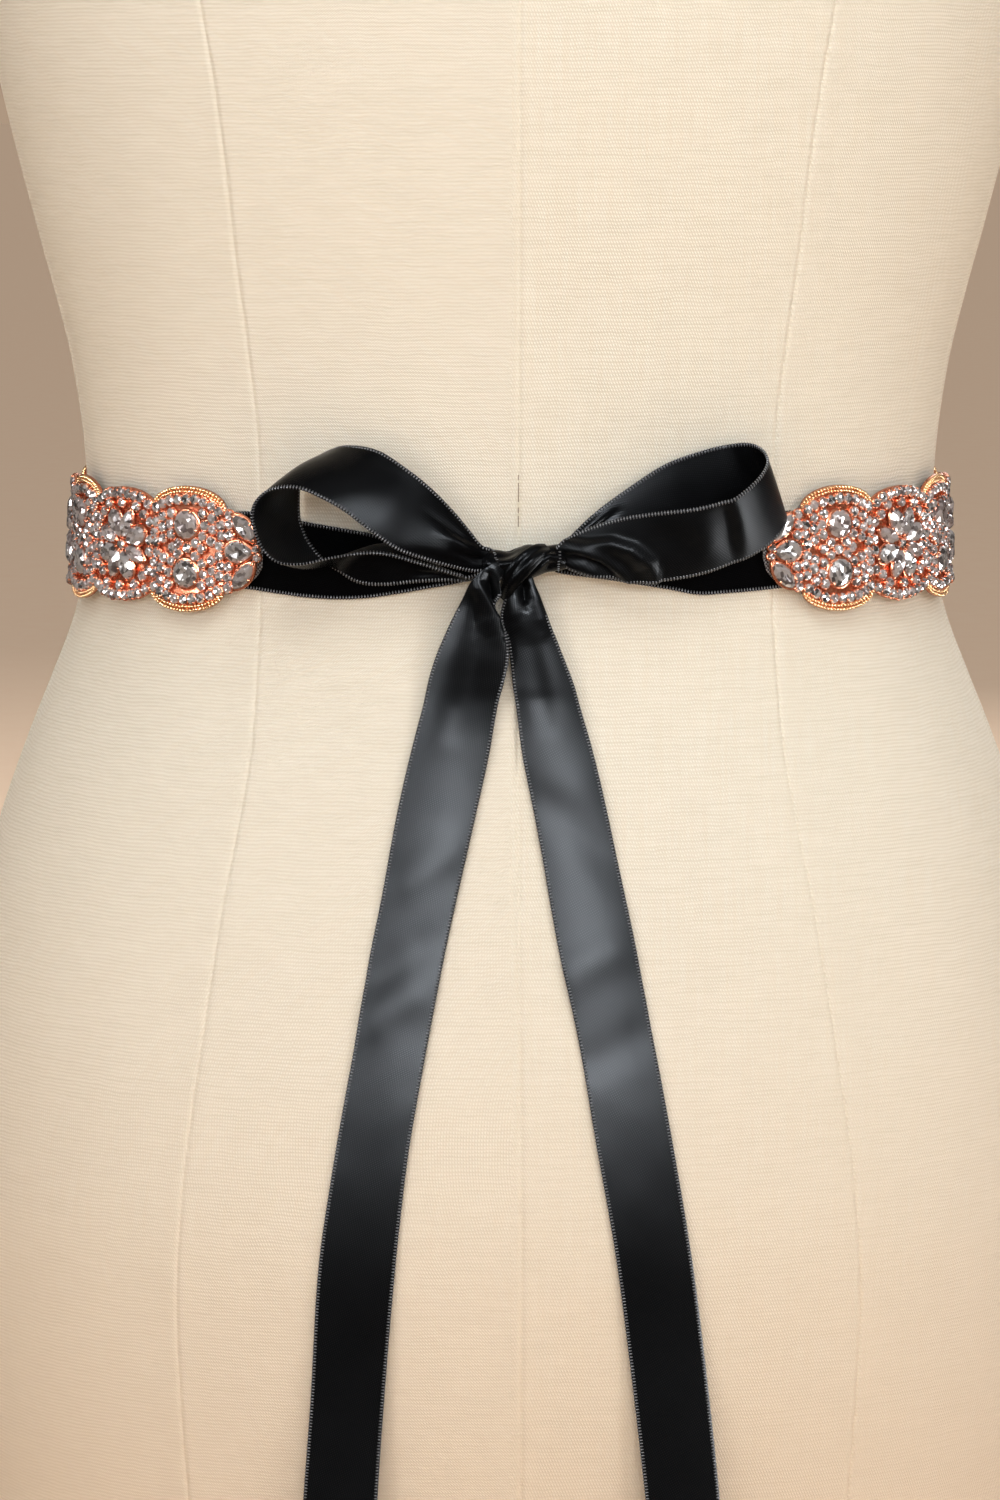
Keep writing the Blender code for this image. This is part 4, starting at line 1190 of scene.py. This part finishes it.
def add_round_ribbon():
    """The ribbon under the jewels, all round the waist from one end cap to the other."""
    start, end = STRIP_START + RIBBON_UNDER_CAP, STRIP_END - RIBBON_UNDER_CAP
    stations, steps_across = 240, 8
    points, uvs = [], []
    for station in range(stations + 1):
        along = start + (end - start) * station / stations
        heights = [RIBBON_WIDTH * (column / steps_across - 0.5) for column in range(steps_across + 1)]
        points.append([strip_point(along, height, RIBBON_LIFT) for height in heights])
        uvs.append([((along - start) * MM, (height + RIBBON_WIDTH / 2) * MM) for height in heights])
    name, satins = "ribbon_under_jewels", [SATIN, SATIN_BACK]
    sew(name, "ribbon_round", points, uvs, satins)


add_round_ribbon()
add_back_ribbon("waist_ribbon_left", "ribbon_back_left", BACK_LEFT_ROWS, BACK_LEFT_FOLDS)
add_back_ribbon("waist_ribbon_right", "ribbon_back_right", BACK_RIGHT_ROWS, BACK_RIGHT_FOLDS)
ribbon("loop_left", "bow_loop_left", LOOP_LEFT_ROWS, LOOP_LEFT_FOLDS)
ribbon("loop_right", "bow_loop_right", LOOP_RIGHT_ROWS, LOOP_RIGHT_FOLDS)
ribbon(
    "hanging_tail_left", "tail_left", TAIL_LEFT_ROWS, TAIL_LEFT_FOLDS,
    (5, 3),
)
ribbon(
    "hanging_tail_right", "tail_right", TAIL_RIGHT_ROWS, TAIL_RIGHT_FOLDS,
    (2, 4),
)


# The knot.
STRAP_STEP = 0.00045


def tube_piece(name, points, uvs):
    """A closed satin tube through rings of points."""
    mesh = bmesh.new()
    verts, _ = lay_faces(mesh, points, uvs)
    for ring in (verts[0], list(reversed(verts[-1]))):
        mesh.faces.new(ring)
    bmesh.ops.recalc_face_normals(mesh, faces=mesh.faces)
    return piece(name, mesh, [SATIN])


def add_knot():
    """The ribbon wrapped round the middle of the bow, with its gathers and its two edges."""
    steps_along, sides = 8, 72
    points, uvs = [], []
    for step in range((len(KNOT_ROWS) - 1) * steps_along + 1):
        place = step / steps_along
        x, height, half_height, lift, half_depth = smooth_row(KNOT_ROWS, place)
        line = []
        for turn in turns_round(sides):
            away, up = math.cos(turn), math.sin(turn)
            seen = height + half_height * up
            fold = fold_lift(KNOT_FOLDS, place, x, seen) if away > -0.2 else 0.0
            fold += 0.16 * noise.noise(Vector((x * 0.22, away * 1.4, up * 1.4)))
            centre = back_point(x, 0.0, lift + (half_depth + fold) * away)
            line.append(centre + Vector((0.0, 0.0, (height + (half_height + fold) * up) * MM)))
        points.append(line)
        uvs.append([(turn * half_height * MM, x * MM) for turn in turns_round(sides) + [math.tau]])
    item = tube_piece("knot_wrap", points, uvs)
    # The ribbon's own edges show at both ends of the wrap.
    arcs = []
    for start, end, inner in ((2.3, 3.2, 1), (9.3, 9.1, -1)):
        arc = []
        for k in range(-14, 15):
            here = round((start + (end - start) * (14 - k) / 28) * steps_along)
            arc.append((points[here][k % sides], points[here + inner][k % sides]))
        arcs.append(arc)
    stitches = add_stitch_rows("knot_wrap_edge", arcs, 0.62)
    stand_for("bow_knot", "black_satin", item, stitches)


def add_strap():
    """The end that crosses the knot: a folded band with a rolled edge on each side."""
    steps_along, sides = 10, 32
    count = (len(STRAP_ROWS) - 1) * steps_along
    rows = [smooth_row(STRAP_ROWS, step / steps_along) for step in range(count + 1)]
    first, last = rows[0], rows[-1]
    run = Vector((last[0] - first[0], 0.0, last[1] - first[1])).normalized()
    wide = Vector((-run.z, 0.0, run.x))
    points, uvs = [], []
    for index, (x, height, lift, half_width, half_thick) in enumerate(rows):
        centre = back_point(x, 0.0, lift) + Vector((0.0, 0.0, height * MM))
        line = []
        for turn in turns_round(sides):
            across, out = math.cos(turn), math.sin(turn)
            if out < 0:
                out -= 0.45 * math.exp(-((across - 0.25) / 0.22) ** 2)
                out += 0.5 * math.exp(-((across + 0.3) / 0.18) ** 2)
            bulge = Vector((0.0, half_thick * out * MM, 0.0))
            line.append(centre + wide * (half_width * across * MM) + bulge)
        points.append(line)
        around = turns_round(sides) + [math.tau]
        uvs.append([(index * STRAP_STEP, half_width * turn * MM) for turn in around])
    item = tube_piece("knot_strap", points, uvs)
    stand_for("bow_strap", "black_satin", item)


add_knot()
add_strap()


# The jewels.
random.seed(7)
STONE_PART, METAL_PART, BEAD_PART = 0, 1, 2
SMALL_STONE, PAIR_STONE = 1.58, 4.25
# Levels over the plate: the cup's rim, the stone's girdle and the small stones' table.
SMALL_RIM, SMALL_GIRDLE, SMALL_TABLE = 1.15, 1.0, 2.25
LARGE_RIM, LARGE_GIRDLE = 1.5, 1.3
LARGE_SIDES = 12
PETAL_REACH = 6.6
BEAD_RADIUS, BEAD_SIDES, BEAD_PATH_STEPS = 0.56, 7, 240
CAP_PLATE_SHARE = 0.34
FOUR_CLAWS = [math.pi / 4 + math.pi / 2 * k for k in range(4)]
END_CLAWS = [0.0, math.pi, math.pi / 2.4, -math.pi / 2.4]

# Small stones of a pair motif: places along it of those inside its edge, then places along it and
# heights of the others, in one quarter of it.
PAIR_EDGE_STONES = (-10.9, -8.6, -5.9, -3.0, 0.0, 3.0, 5.9, 8.6, 10.9)
PAIR_QUARTER = (
    (5.5, 10.3), (6.0, 7.1), (5.4, 4.0), (2.9, 1.75), (8.7, 9.3), (11.3, 7.4), (8.9, 5.9),
    (11.7, 4.4), (8.3, 2.9), (10.9, 1.45),
)
# Small stones of one half of a flower motif, inside those along its edge: place and height.
FLOWER_STONES = (
    (-11.7, 1.6), (11.7, 1.6), (-11.8, 7.0), (11.8, 7.0), (-9.0, 8.9), (9.0, 8.9),
    (0.0, 12.1), (-6.4, 11.6), (6.4, 11.6),
)


def motif_outline(kind, part):
    """Half height of a motif; part runs from -1 to 1 over it, or 0 to 1 to a cap's tip."""
    arc = math.sqrt(max(0.0, 1 - part * part))
    if kind == "cap":
        return CAP_TIP + (PAIR_EDGE - CAP_TIP) * arc
    edge, rise = (PAIR_EDGE, PAIR_RISE) if kind == "pair" else (FLOWER_EDGE, FLOWER_RISE)
    return edge + rise * arc


def motif_columns(kind, start, end, count):
    """Places along a motif, closer together at an end or a tip: length round the waist, half height."""
    places = []
    for column in range(count + 1):
        if kind == "cap":
            part = math.sin(math.pi / 2 * column / count)
            along = start + (end - start) * part
        else:
            part = -math.cos(math.pi * column / count)
            along = (start + end) / 2 + (end - start) / 2 * part
        places.append((along, motif_outline(kind, part)))
    return places


def at(mesh, matrix, x, y, level):
    """A new vertex at millimetres in a frame."""
    return mesh.verts.new(matrix @ Vector((x * MM, y * MM, level * MM)))


def paint(faces, part, smooth=True):
    """Faces in one of a jewel's materials."""
    for face in faces:
        face.material_index = part
        face.smooth = smooth


def stone_outline(shape, half_length, half_width, sides):
    """A stone's plan, counter-clockwise; a pear points along +X."""
    outline = []
    for turn in turns_round(sides):
        along, across = math.cos(turn), math.sin(turn)
        if shape == "navette":
            across *= abs(across) ** 0.45
        elif shape == "pear" and along >= 0:
            across *= 1.0 - 0.62 * along ** 1.3
        outline.append((half_length * along, half_width * across))
    return outline


def add_stone(mesh, matrix, shape, half_length, half_width, base, top, sides, table=0.52):
    """A cut stone: girdle, two rows of crown facets, and a table sunk like the foil behind it."""
    deep = top - base
    levels = ((1.0, base), (1.0, base + deep * 0.34), (0.80, base + deep * 0.74), (table, top))
    rings = []
    for index, (share, level) in enumerate(levels):
        outline = stone_outline(shape, half_length * share, half_width * share, sides)
        if index == 2 and shape == "round":
            # This ring is turned by half a facet.
            cosine, sine = math.cos(math.pi / sides), math.sin(math.pi / sides)
            outline = [
                (x * cosine - y * sine * half_length / half_width,
                 y * cosine + x * sine * half_width / half_length)
                for x, y in outline
            ]
        rings.append([at(mesh, matrix, x, y, level) for x, y in outline])
    centre = at(mesh, matrix, 0.0, 0.0, top - deep * 0.30)
    faces = band(mesh, rings[0], rings[1])
    for low, high, leans_on in ((rings[1], rings[2], False), (rings[2], rings[3], True)):
        for k in range(sides):
            after = (k + 1) % sides
            tip, foot = (high[after], low[k]) if leans_on else (high[k], low[after])
            faces.append(mesh.faces.new((low[k], low[after], tip)))
            faces.append(mesh.faces.new((foot, high[after], high[k])))
    faces += cone(mesh, rings[3], centre)
    faces.append(mesh.faces.new(list(reversed(rings[0]))))
    paint(faces, STONE_PART, False)


def add_cup(mesh, matrix, shape, half_length, half_width, base, rim, sides, claws):
    """A metal cup under a stone, with claws bent over its edge."""
    rings = []
    for share, level in ((0.86, base), (1.16, rim * 0.6 + base * 0.4), (1.15, rim), (1.0, rim)):
        outline = stone_outline(shape, half_length * share, half_width * share, sides)
        rings.append([at(mesh, matrix, x, y, level) for x, y in outline])
    for low, high in zip(rings, rings[1:]):
        paint(band(mesh, low, high), METAL_PART)
    paint([mesh.faces.new(ring) for ring in (list(reversed(rings[0])), rings[-1])], METAL_PART, False)
    for turn in claws:
        direction = Vector((math.cos(turn), math.sin(turn), 0.0))
        reach = 1.0 / math.hypot(direction.x / half_length, direction.y / half_width)
        size = 0.34 if half_width < 2.0 else 0.5
        add_claw(mesh, matrix, direction, reach, size, rim)


def add_claw(mesh, matrix, direction, reach, size, rim):
    """One claw: a rounded tab from the cup's rim over the stone."""
    side = Vector((-direction.y, direction.x, 0.0))
    levels = (
        (reach * 1.12, rim - 0.25, size * 0.8), (reach * 1.12, rim + 0.45, size * 0.8),
        (reach * 0.80, rim + 0.80, size * 0.45),
    )
    skins = []
    for pulled, lowered in ((0.0, 0.0), (0.28, 0.22)):
        skin = []
        for away, level, wide in levels:
            for sign in (-1, 1):
                place = direction * (away - pulled) + side * (sign * wide)
                skin.append(at(mesh, matrix, place.x, place.y, level - lowered))
        skins.append(skin)
    outer, inner = skins
    quads = (
        (outer[0], outer[1], outer[3], outer[2]), (outer[2], outer[3], outer[5], outer[4]),
        (inner[1], inner[0], inner[2], inner[3]), (inner[3], inner[2], inner[4], inner[5]),
        (outer[1], inner[1], inner[3], outer[3]), (outer[3], inner[3], inner[5], outer[5]),
        (inner[0], outer[0], outer[2], inner[2]), (inner[2], outer[2], outer[4], inner[4]),
        (outer[4], outer[5], inner[5], inner[4]), (outer[1], outer[0], inner[0], inner[1]),
    )
    paint([mesh.faces.new(quad) for quad in quads], METAL_PART)


def add_bead(mesh, matrix, radius):
    """One round seed bead."""
    rings = []
    for level, share in ((-0.6, 0.8), (0.15, 1.0), (0.75, 0.68)):
        ring = []
        for turn in turns_round(BEAD_SIDES):
            x, y = share * math.cos(turn), share * math.sin(turn)
            ring.append(at(mesh, matrix, x * radius, y * radius, level * radius))
        rings.append(ring)
    top = at(mesh, matrix, 0.0, 0.0, 1.02 * radius)
    bottom = at(mesh, matrix, 0.0, 0.0, -1.0 * radius)
    faces = band(mesh, rings[0], rings[1]) + band(mesh, rings[1], rings[2])
    faces += cone(mesh, list(reversed(rings[0])), bottom) + cone(mesh, rings[2], top)
    paint(faces, BEAD_PART)


def jitter(amount):
    """A random step either way."""
    return random.uniform(-amount, amount)


def leant(matrix, degrees):
    """A frame that leans a little at random, about its X and its Y."""
    about_x = Matrix.Rotation(math.radians(jitter(degrees)), 4, "X")
    about_y = Matrix.Rotation(math.radians(jitter(degrees)), 4, "Y")
    return matrix @ about_x @ about_y


def set_small(mesh, along, height, lift=PLATE_LIFT, scale=1.0, base=0.0):
    """A small round stone in its four-clawed cup."""
    matrix = strip_frame(along + jitter(0.12), height + jitter(0.12), lift)
    matrix = leant(matrix @ Matrix.Rotation(random.uniform(0, math.tau), 4, "Z"), 9.0)
    radius = SMALL_STONE * scale * (1 + jitter(0.05))
    add_cup(mesh, matrix, "round", radius, radius, base, SMALL_RIM, 10, FOUR_CLAWS)
    add_stone(mesh, matrix, "round", radius, radius, SMALL_GIRDLE, SMALL_TABLE, 8)


def set_large(mesh, along, height, turn, shape, half_length, half_width, top, base=0.0):
    """A large stone in a cup with claws."""
    matrix = strip_frame(along, height, PLATE_LIFT) @ Matrix.Rotation(turn, 4, "Z")
    matrix = leant(matrix, 4.0)
    claws = FOUR_CLAWS if shape == "round" else END_CLAWS
    add_cup(mesh, matrix, shape, half_length, half_width, base, LARGE_RIM, LARGE_SIDES * 2, claws)
    length, width = half_length * 0.97, half_width * 0.97
    add_stone(mesh, matrix, shape, length, width, LARGE_GIRDLE, top, LARGE_SIDES, 0.5)


def rim_of(grid):
    """The outer vertices of a grid, in order round it."""
    near = [line[0] for line in grid]
    far = [line[-1] for line in reversed(grid[:-1])]
    return near + grid[-1][1:] + far + grid[0][-2:0:-1]


def add_plate(mesh, kind, start, end):
    """The metal-thread ground between the stones: a thin scalloped plate."""
    columns, steps = 24, 10
    way = math.copysign(0.15, end - start)
    start, end = start + way, end - way
    if kind == "cap":
        end = start + (end - start) * CAP_PLATE_SHARE
    layers = []
    for lift, inset in ((PLATE_LIFT - 0.6, 0.0), (PLATE_LIFT + 0.25, 0.35)):
        grid = []
        for along, half in motif_columns(kind, start, end, columns):
            line = []
            for step in range(steps + 1):
                share = 2 * step / steps - 1
                edge = inset if step in (0, steps) else 0.0
                line.append(mesh.verts.new(strip_point(along, share * (half - edge), lift)))
            grid.append(line)
        layers.append(grid)
    flip = end < start
    quads = []
    for layer, grid in enumerate(layers):
        for before, after in zip(grid, grid[1:]):
            for step in range(steps):
                quad = [before[step], after[step], after[step + 1], before[step + 1]]
                quads.append(quad[::-1] if (layer == 0) != flip else quad)
    low, high = (rim_of(grid) for grid in layers)
    for index in range(len(low)):
        after = (index + 1) % len(low)
        quad = [low[index], low[after], high[after], high[index]]
        quads.append(quad[::-1] if flip else quad)
    paint([mesh.faces.new(quad) for quad in quads], METAL_PART)


def bead_row(mesh, kind, start, end, inset, side, shift):
    """Beads along a scallop's edge, one diameter apart."""
    middle, half_span = (start + end) / 2, (end - start) / 2
    path = []
    for step in range(BEAD_PATH_STEPS + 1):
        part = -0.985 + 1.97 * step / BEAD_PATH_STEPS
        path.append((middle + half_span * part, side * (motif_outline(kind, part) - inset)))
    travelled, wanted = 0.0, shift
    for (x0, y0), (x1, y1) in zip(path, path[1:]):
        length = math.hypot(x1 - x0, y1 - y0)
        while wanted <= travelled + length:
            part = (wanted - travelled) / length
            x, y = x0 + (x1 - x0) * part, y0 + (y1 - y0) * part
            matrix = strip_frame(x, y, PLATE_LIFT + 0.55 + jitter(0.05))
            matrix = matrix @ Matrix.Rotation(random.uniform(0, math.tau), 4, "Z")
            add_bead(mesh, matrix, BEAD_RADIUS * (1 + jitter(0.06)))
            wanted += BEAD_RADIUS * 1.96
        travelled += length


def set_pair(mesh, start, end):
    """Two large round stones, ringed by small ones, between double rows of gold beads."""
    middle, half_span = (start + end) / 2, abs(end - start) / 2
    for sign in (-1, 1):
        turn = random.uniform(0, 1)
        set_large(mesh, middle, sign * 7.1, turn, "round", PAIR_STONE, PAIR_STONE, 3.3)
        for u in PAIR_EDGE_STONES:
            set_small(mesh, middle + u, sign * (motif_outline("pair", u / half_span) - 3.85))
        for u, v in PAIR_QUARTER:
            for hand in (-1, 1):
                set_small(mesh, middle + hand * u, sign * v)
        bead_row(mesh, "pair", start, end, 0.55, sign, 0.2)
        bead_row(mesh, "pair", start, end, 1.65, sign, 0.7)
    for u in (-5.1, 0.0, 5.1):
        set_small(mesh, middle + u, jitter(0.2))


def set_flower(mesh, start, end):
    """Eight petals round a small centre, framed by small stones."""
    middle, half_span = (start + end) / 2, abs(end - start) / 2
    set_small(mesh, middle, 0.0, PLATE_LIFT + 0.5)
    for petal in range(8):
        turn = math.tau * (petal + 0.5) / 8
        along, height = middle + PETAL_REACH * math.cos(turn), PETAL_REACH * math.sin(turn)
        if petal % 2:
            set_large(mesh, along, height, turn, "navette", 4.5, 2.25, 3.5, 0.5)
        else:
            set_large(mesh, along, height, turn + math.pi, "pear", 4.5, 2.95, 3.6, 0.5)
    for sign in (-1, 1):
        for k in range(-4, 5):
            u = k * 2.78
            v = motif_outline("flower", u / half_span) - 1.75
            set_small(mesh, middle + u, sign * v)
        for u, v in FLOWER_STONES:
            set_small(mesh, middle + u, sign * v)


def set_cap(mesh, start, end):
    """An end: a pear that points outwards, two navettes and tiny stones at the tip."""
    way = math.copysign(1.0, end - start)
    facing = 0.0 if way > 0 else math.pi
    set_large(mesh, start + way * 4.7, 0.0, facing, "pear", 4.8, 3.35, 3.2, -1.0)
    for sign in (-1, 1):
        tilt = -sign * way * math.radians(48.0)
        set_large(mesh, start + way * 6.2, sign * 7.0, tilt, "navette", 5.1, 2.5, 3.0, -1.0)
        for u, v in ((1.5, 4.6), (1.4, 7.7), (1.5, 10.5)):
            set_small(mesh, start + way * u, sign * v)
    set_small(mesh, start + way * 9.6, 1.0, scale=0.74, base=-1.0)
    set_small(mesh, start + way * 9.9, -1.4, scale=0.78, base=-1.0)


def add_strip():
    """Every motif and end cap, each one joined mesh that stands for its CAD node."""
    along = STRIP_START + END_CAP_LENGTH
    todo = [("end_cap_right", "cap", along, STRIP_START)]
    for index in range(MOTIF_COUNT):
        kind = "pair" if index % 2 == 0 else "flower"
        todo.append((f"motif_{index + 1:02d}_{kind}", kind, along, along + MOTIF_PITCH))
        along += MOTIF_PITCH
    todo.append(("end_cap_left", "cap", along, STRIP_END))
    setters = {"pair": set_pair, "flower": set_flower, "cap": set_cap}
    for node, kind, start, end in todo:
        mesh = bmesh.new()
        add_plate(mesh, kind, start, end)
        setters[kind](mesh, start, end)
        item = piece(f"{node}_jewels", mesh, [CRYSTAL, COPPER, BEAD], False)
        stand_for(node, "rose_gold_jewels", item)
    return todo


def add_backing(todo):
    """The clear net under the jewels, which shows past their ends."""
    points, uvs = [], []
    columns, steps_across = 12, 12
    shares = [2 * k / steps_across - 1 for k in range(steps_across + 1)]
    middle = steps_across // 2
    for _, kind, start, end in todo:
        places = motif_columns(kind, start, end, columns)
        if kind == "cap" and not points:
            places.reverse()
        for along, half in places:
            half -= 1.0
            line = [strip_point(along, half * share, BACKING_LIFT) for share in shares]
            if points and (points[-1][middle] - line[middle]).length < 0.4 * MM:
                continue
            points.append(line)
            uvs.append([(along * MM, half * share * MM) for share in shares])
    net = grid_piece("jewel_net", points, uvs, [NET], 0.3)
    stand_for("applique_backing", "clear_mesh", net)


add_backing(add_strip())


# Floor and light.
ROOM_COLOUR, ROOM_LIGHT, MIRRORED_LIGHT = (1.0, 0.93, 0.86, 1), 0.12, 0.03
BACKDROP_COLOUR = (0.42, 0.305, 0.215, 1)
SKY_LIGHT = 0.9
COOL, COLD, MILD = (0.97, 0.985, 1.0), (0.95, 0.975, 1.0), (1.0, 0.985, 0.96)

# Name, role, place, aim, size, watts and colour of each soft box.
SOFT_BOXES = (
    ("left", "box", (-1.2, -1.4, 0.86), (0.0, 0.0, 0.34), (0.5, 0.8), 5.0, COOL),
    ("right", "box", (1.25, -1.25, 0.92), (0.0, 0.0, 0.36), (0.45, 0.8), 6.5, COOL),
    ("front", "box", (0.1, -1.95, 0.90), (0.0, 0.0, 0.34), (0.9, 0.26), 6.5, (1.0, 0.985, 0.97)),
    ("front_gleam", "gleam", (0.12, -1.97, 0.92), (0.0, 0.0, 0.34), (1.30, 0.32), 98.0, COLD),
    ("left_gleam", "gleam", (-1.54, -1.12, 0.66), (0.0, 0.0, 0.37), (0.8, 0.22), 36.0, COLD),
    ("right_gleam", "gleam", (0.52, -0.11, 0.065), (0.065, -0.15, 0.38), (0.14, 0.14), 3.0, COOL),
    ("above", "box", (-0.1, -1.25, 1.95), (0.0, 0.0, 0.40), (1.3, 0.8), 4.0, MILD),
    ("above_fill", "fill", (-0.1, -1.2, 2.0), (0.0, 0.0, 0.42), (1.3, 0.8), 10.0, MILD),
    ("behind", "box", (0.7, 1.9, 1.3), (0.0, 0.0, 0.4), (1.4, 1.2), 16.0, (1.0, 0.98, 0.96)),
)


def add_floor():
    """The ground, which no mirror shows."""
    mesh = bmesh.new()
    bmesh.ops.create_grid(mesh, x_segments=8, y_segments=8, size=60.0)
    floor = piece("floor", mesh, [floor_material()])
    floor.visible_glossy = False


def area_light(name, role, place, aim, size, watts, colour):
    """A soft box; a gleam shows only in reflections, and a fill never does."""
    data = bpy.data.lights.new(name, "AREA")
    data.shape = "RECTANGLE"
    data.size, data.size_y = size
    data.energy = watts
    data.color = colour
    item = bpy.data.objects.new(name, data)
    bpy.context.scene.collection.objects.link(item)
    item.location = place
    item.rotation_mode = "QUATERNION"
    item.rotation_quaternion = (Vector(aim) - Vector(place)).to_track_quat("-Z", "Y")
    item.visible_diffuse = role != "gleam"
    item.visible_glossy = role != "fill"


def add_room():
    """A dim room, dimmer still in reflections, that the camera sees as a pale backdrop."""
    studio = bpy.data.worlds.new("studio")
    bpy.context.scene.world = studio
    studio.use_nodes = True
    nodes, links = studio.node_tree.nodes, studio.node_tree.links
    backgrounds = [nodes["Background"]] + [nodes.new("ShaderNodeBackground") for _ in range(2)]
    strengths = (
        (ROOM_COLOUR, ROOM_LIGHT), (ROOM_COLOUR, MIRRORED_LIGHT), (BACKDROP_COLOUR, 1.0),
    )
    for background, (colour, strength) in zip(backgrounds, strengths):
        background.inputs[0].default_value = colour
        background.inputs[1].default_value = strength
    path = nodes.new("ShaderNodeLightPath")
    seen = backgrounds[0]
    for rays, background in (("Is Glossy Ray", backgrounds[1]), ("Is Camera Ray", backgrounds[2])):
        mix = nodes.new("ShaderNodeMixShader")
        links.new(path.outputs[rays], mix.inputs[0])
        links.new(seen.outputs[0], mix.inputs[1])
        links.new(background.outputs[0], mix.inputs[2])
        seen = mix
    links.new(seen.outputs[0], nodes["World Output"].inputs[0])


def add_lights():
    """Soft boxes round the form, and an open sky that mirrors don't show."""
    for soft_box in SOFT_BOXES:
        area_light(*soft_box)
    sun = bpy.data.lights.new("open_sky", "SUN")
    sun.energy, sun.angle, sun.color = SKY_LIGHT, math.radians(120.0), (1.0, 0.97, 0.94)
    item = bpy.data.objects.new("open_sky", sun)
    item.visible_glossy = False
    bpy.context.scene.collection.objects.link(item)


add_floor()
add_room()
add_lights()
bpy.context.scene.view_settings.view_transform = "Standard"
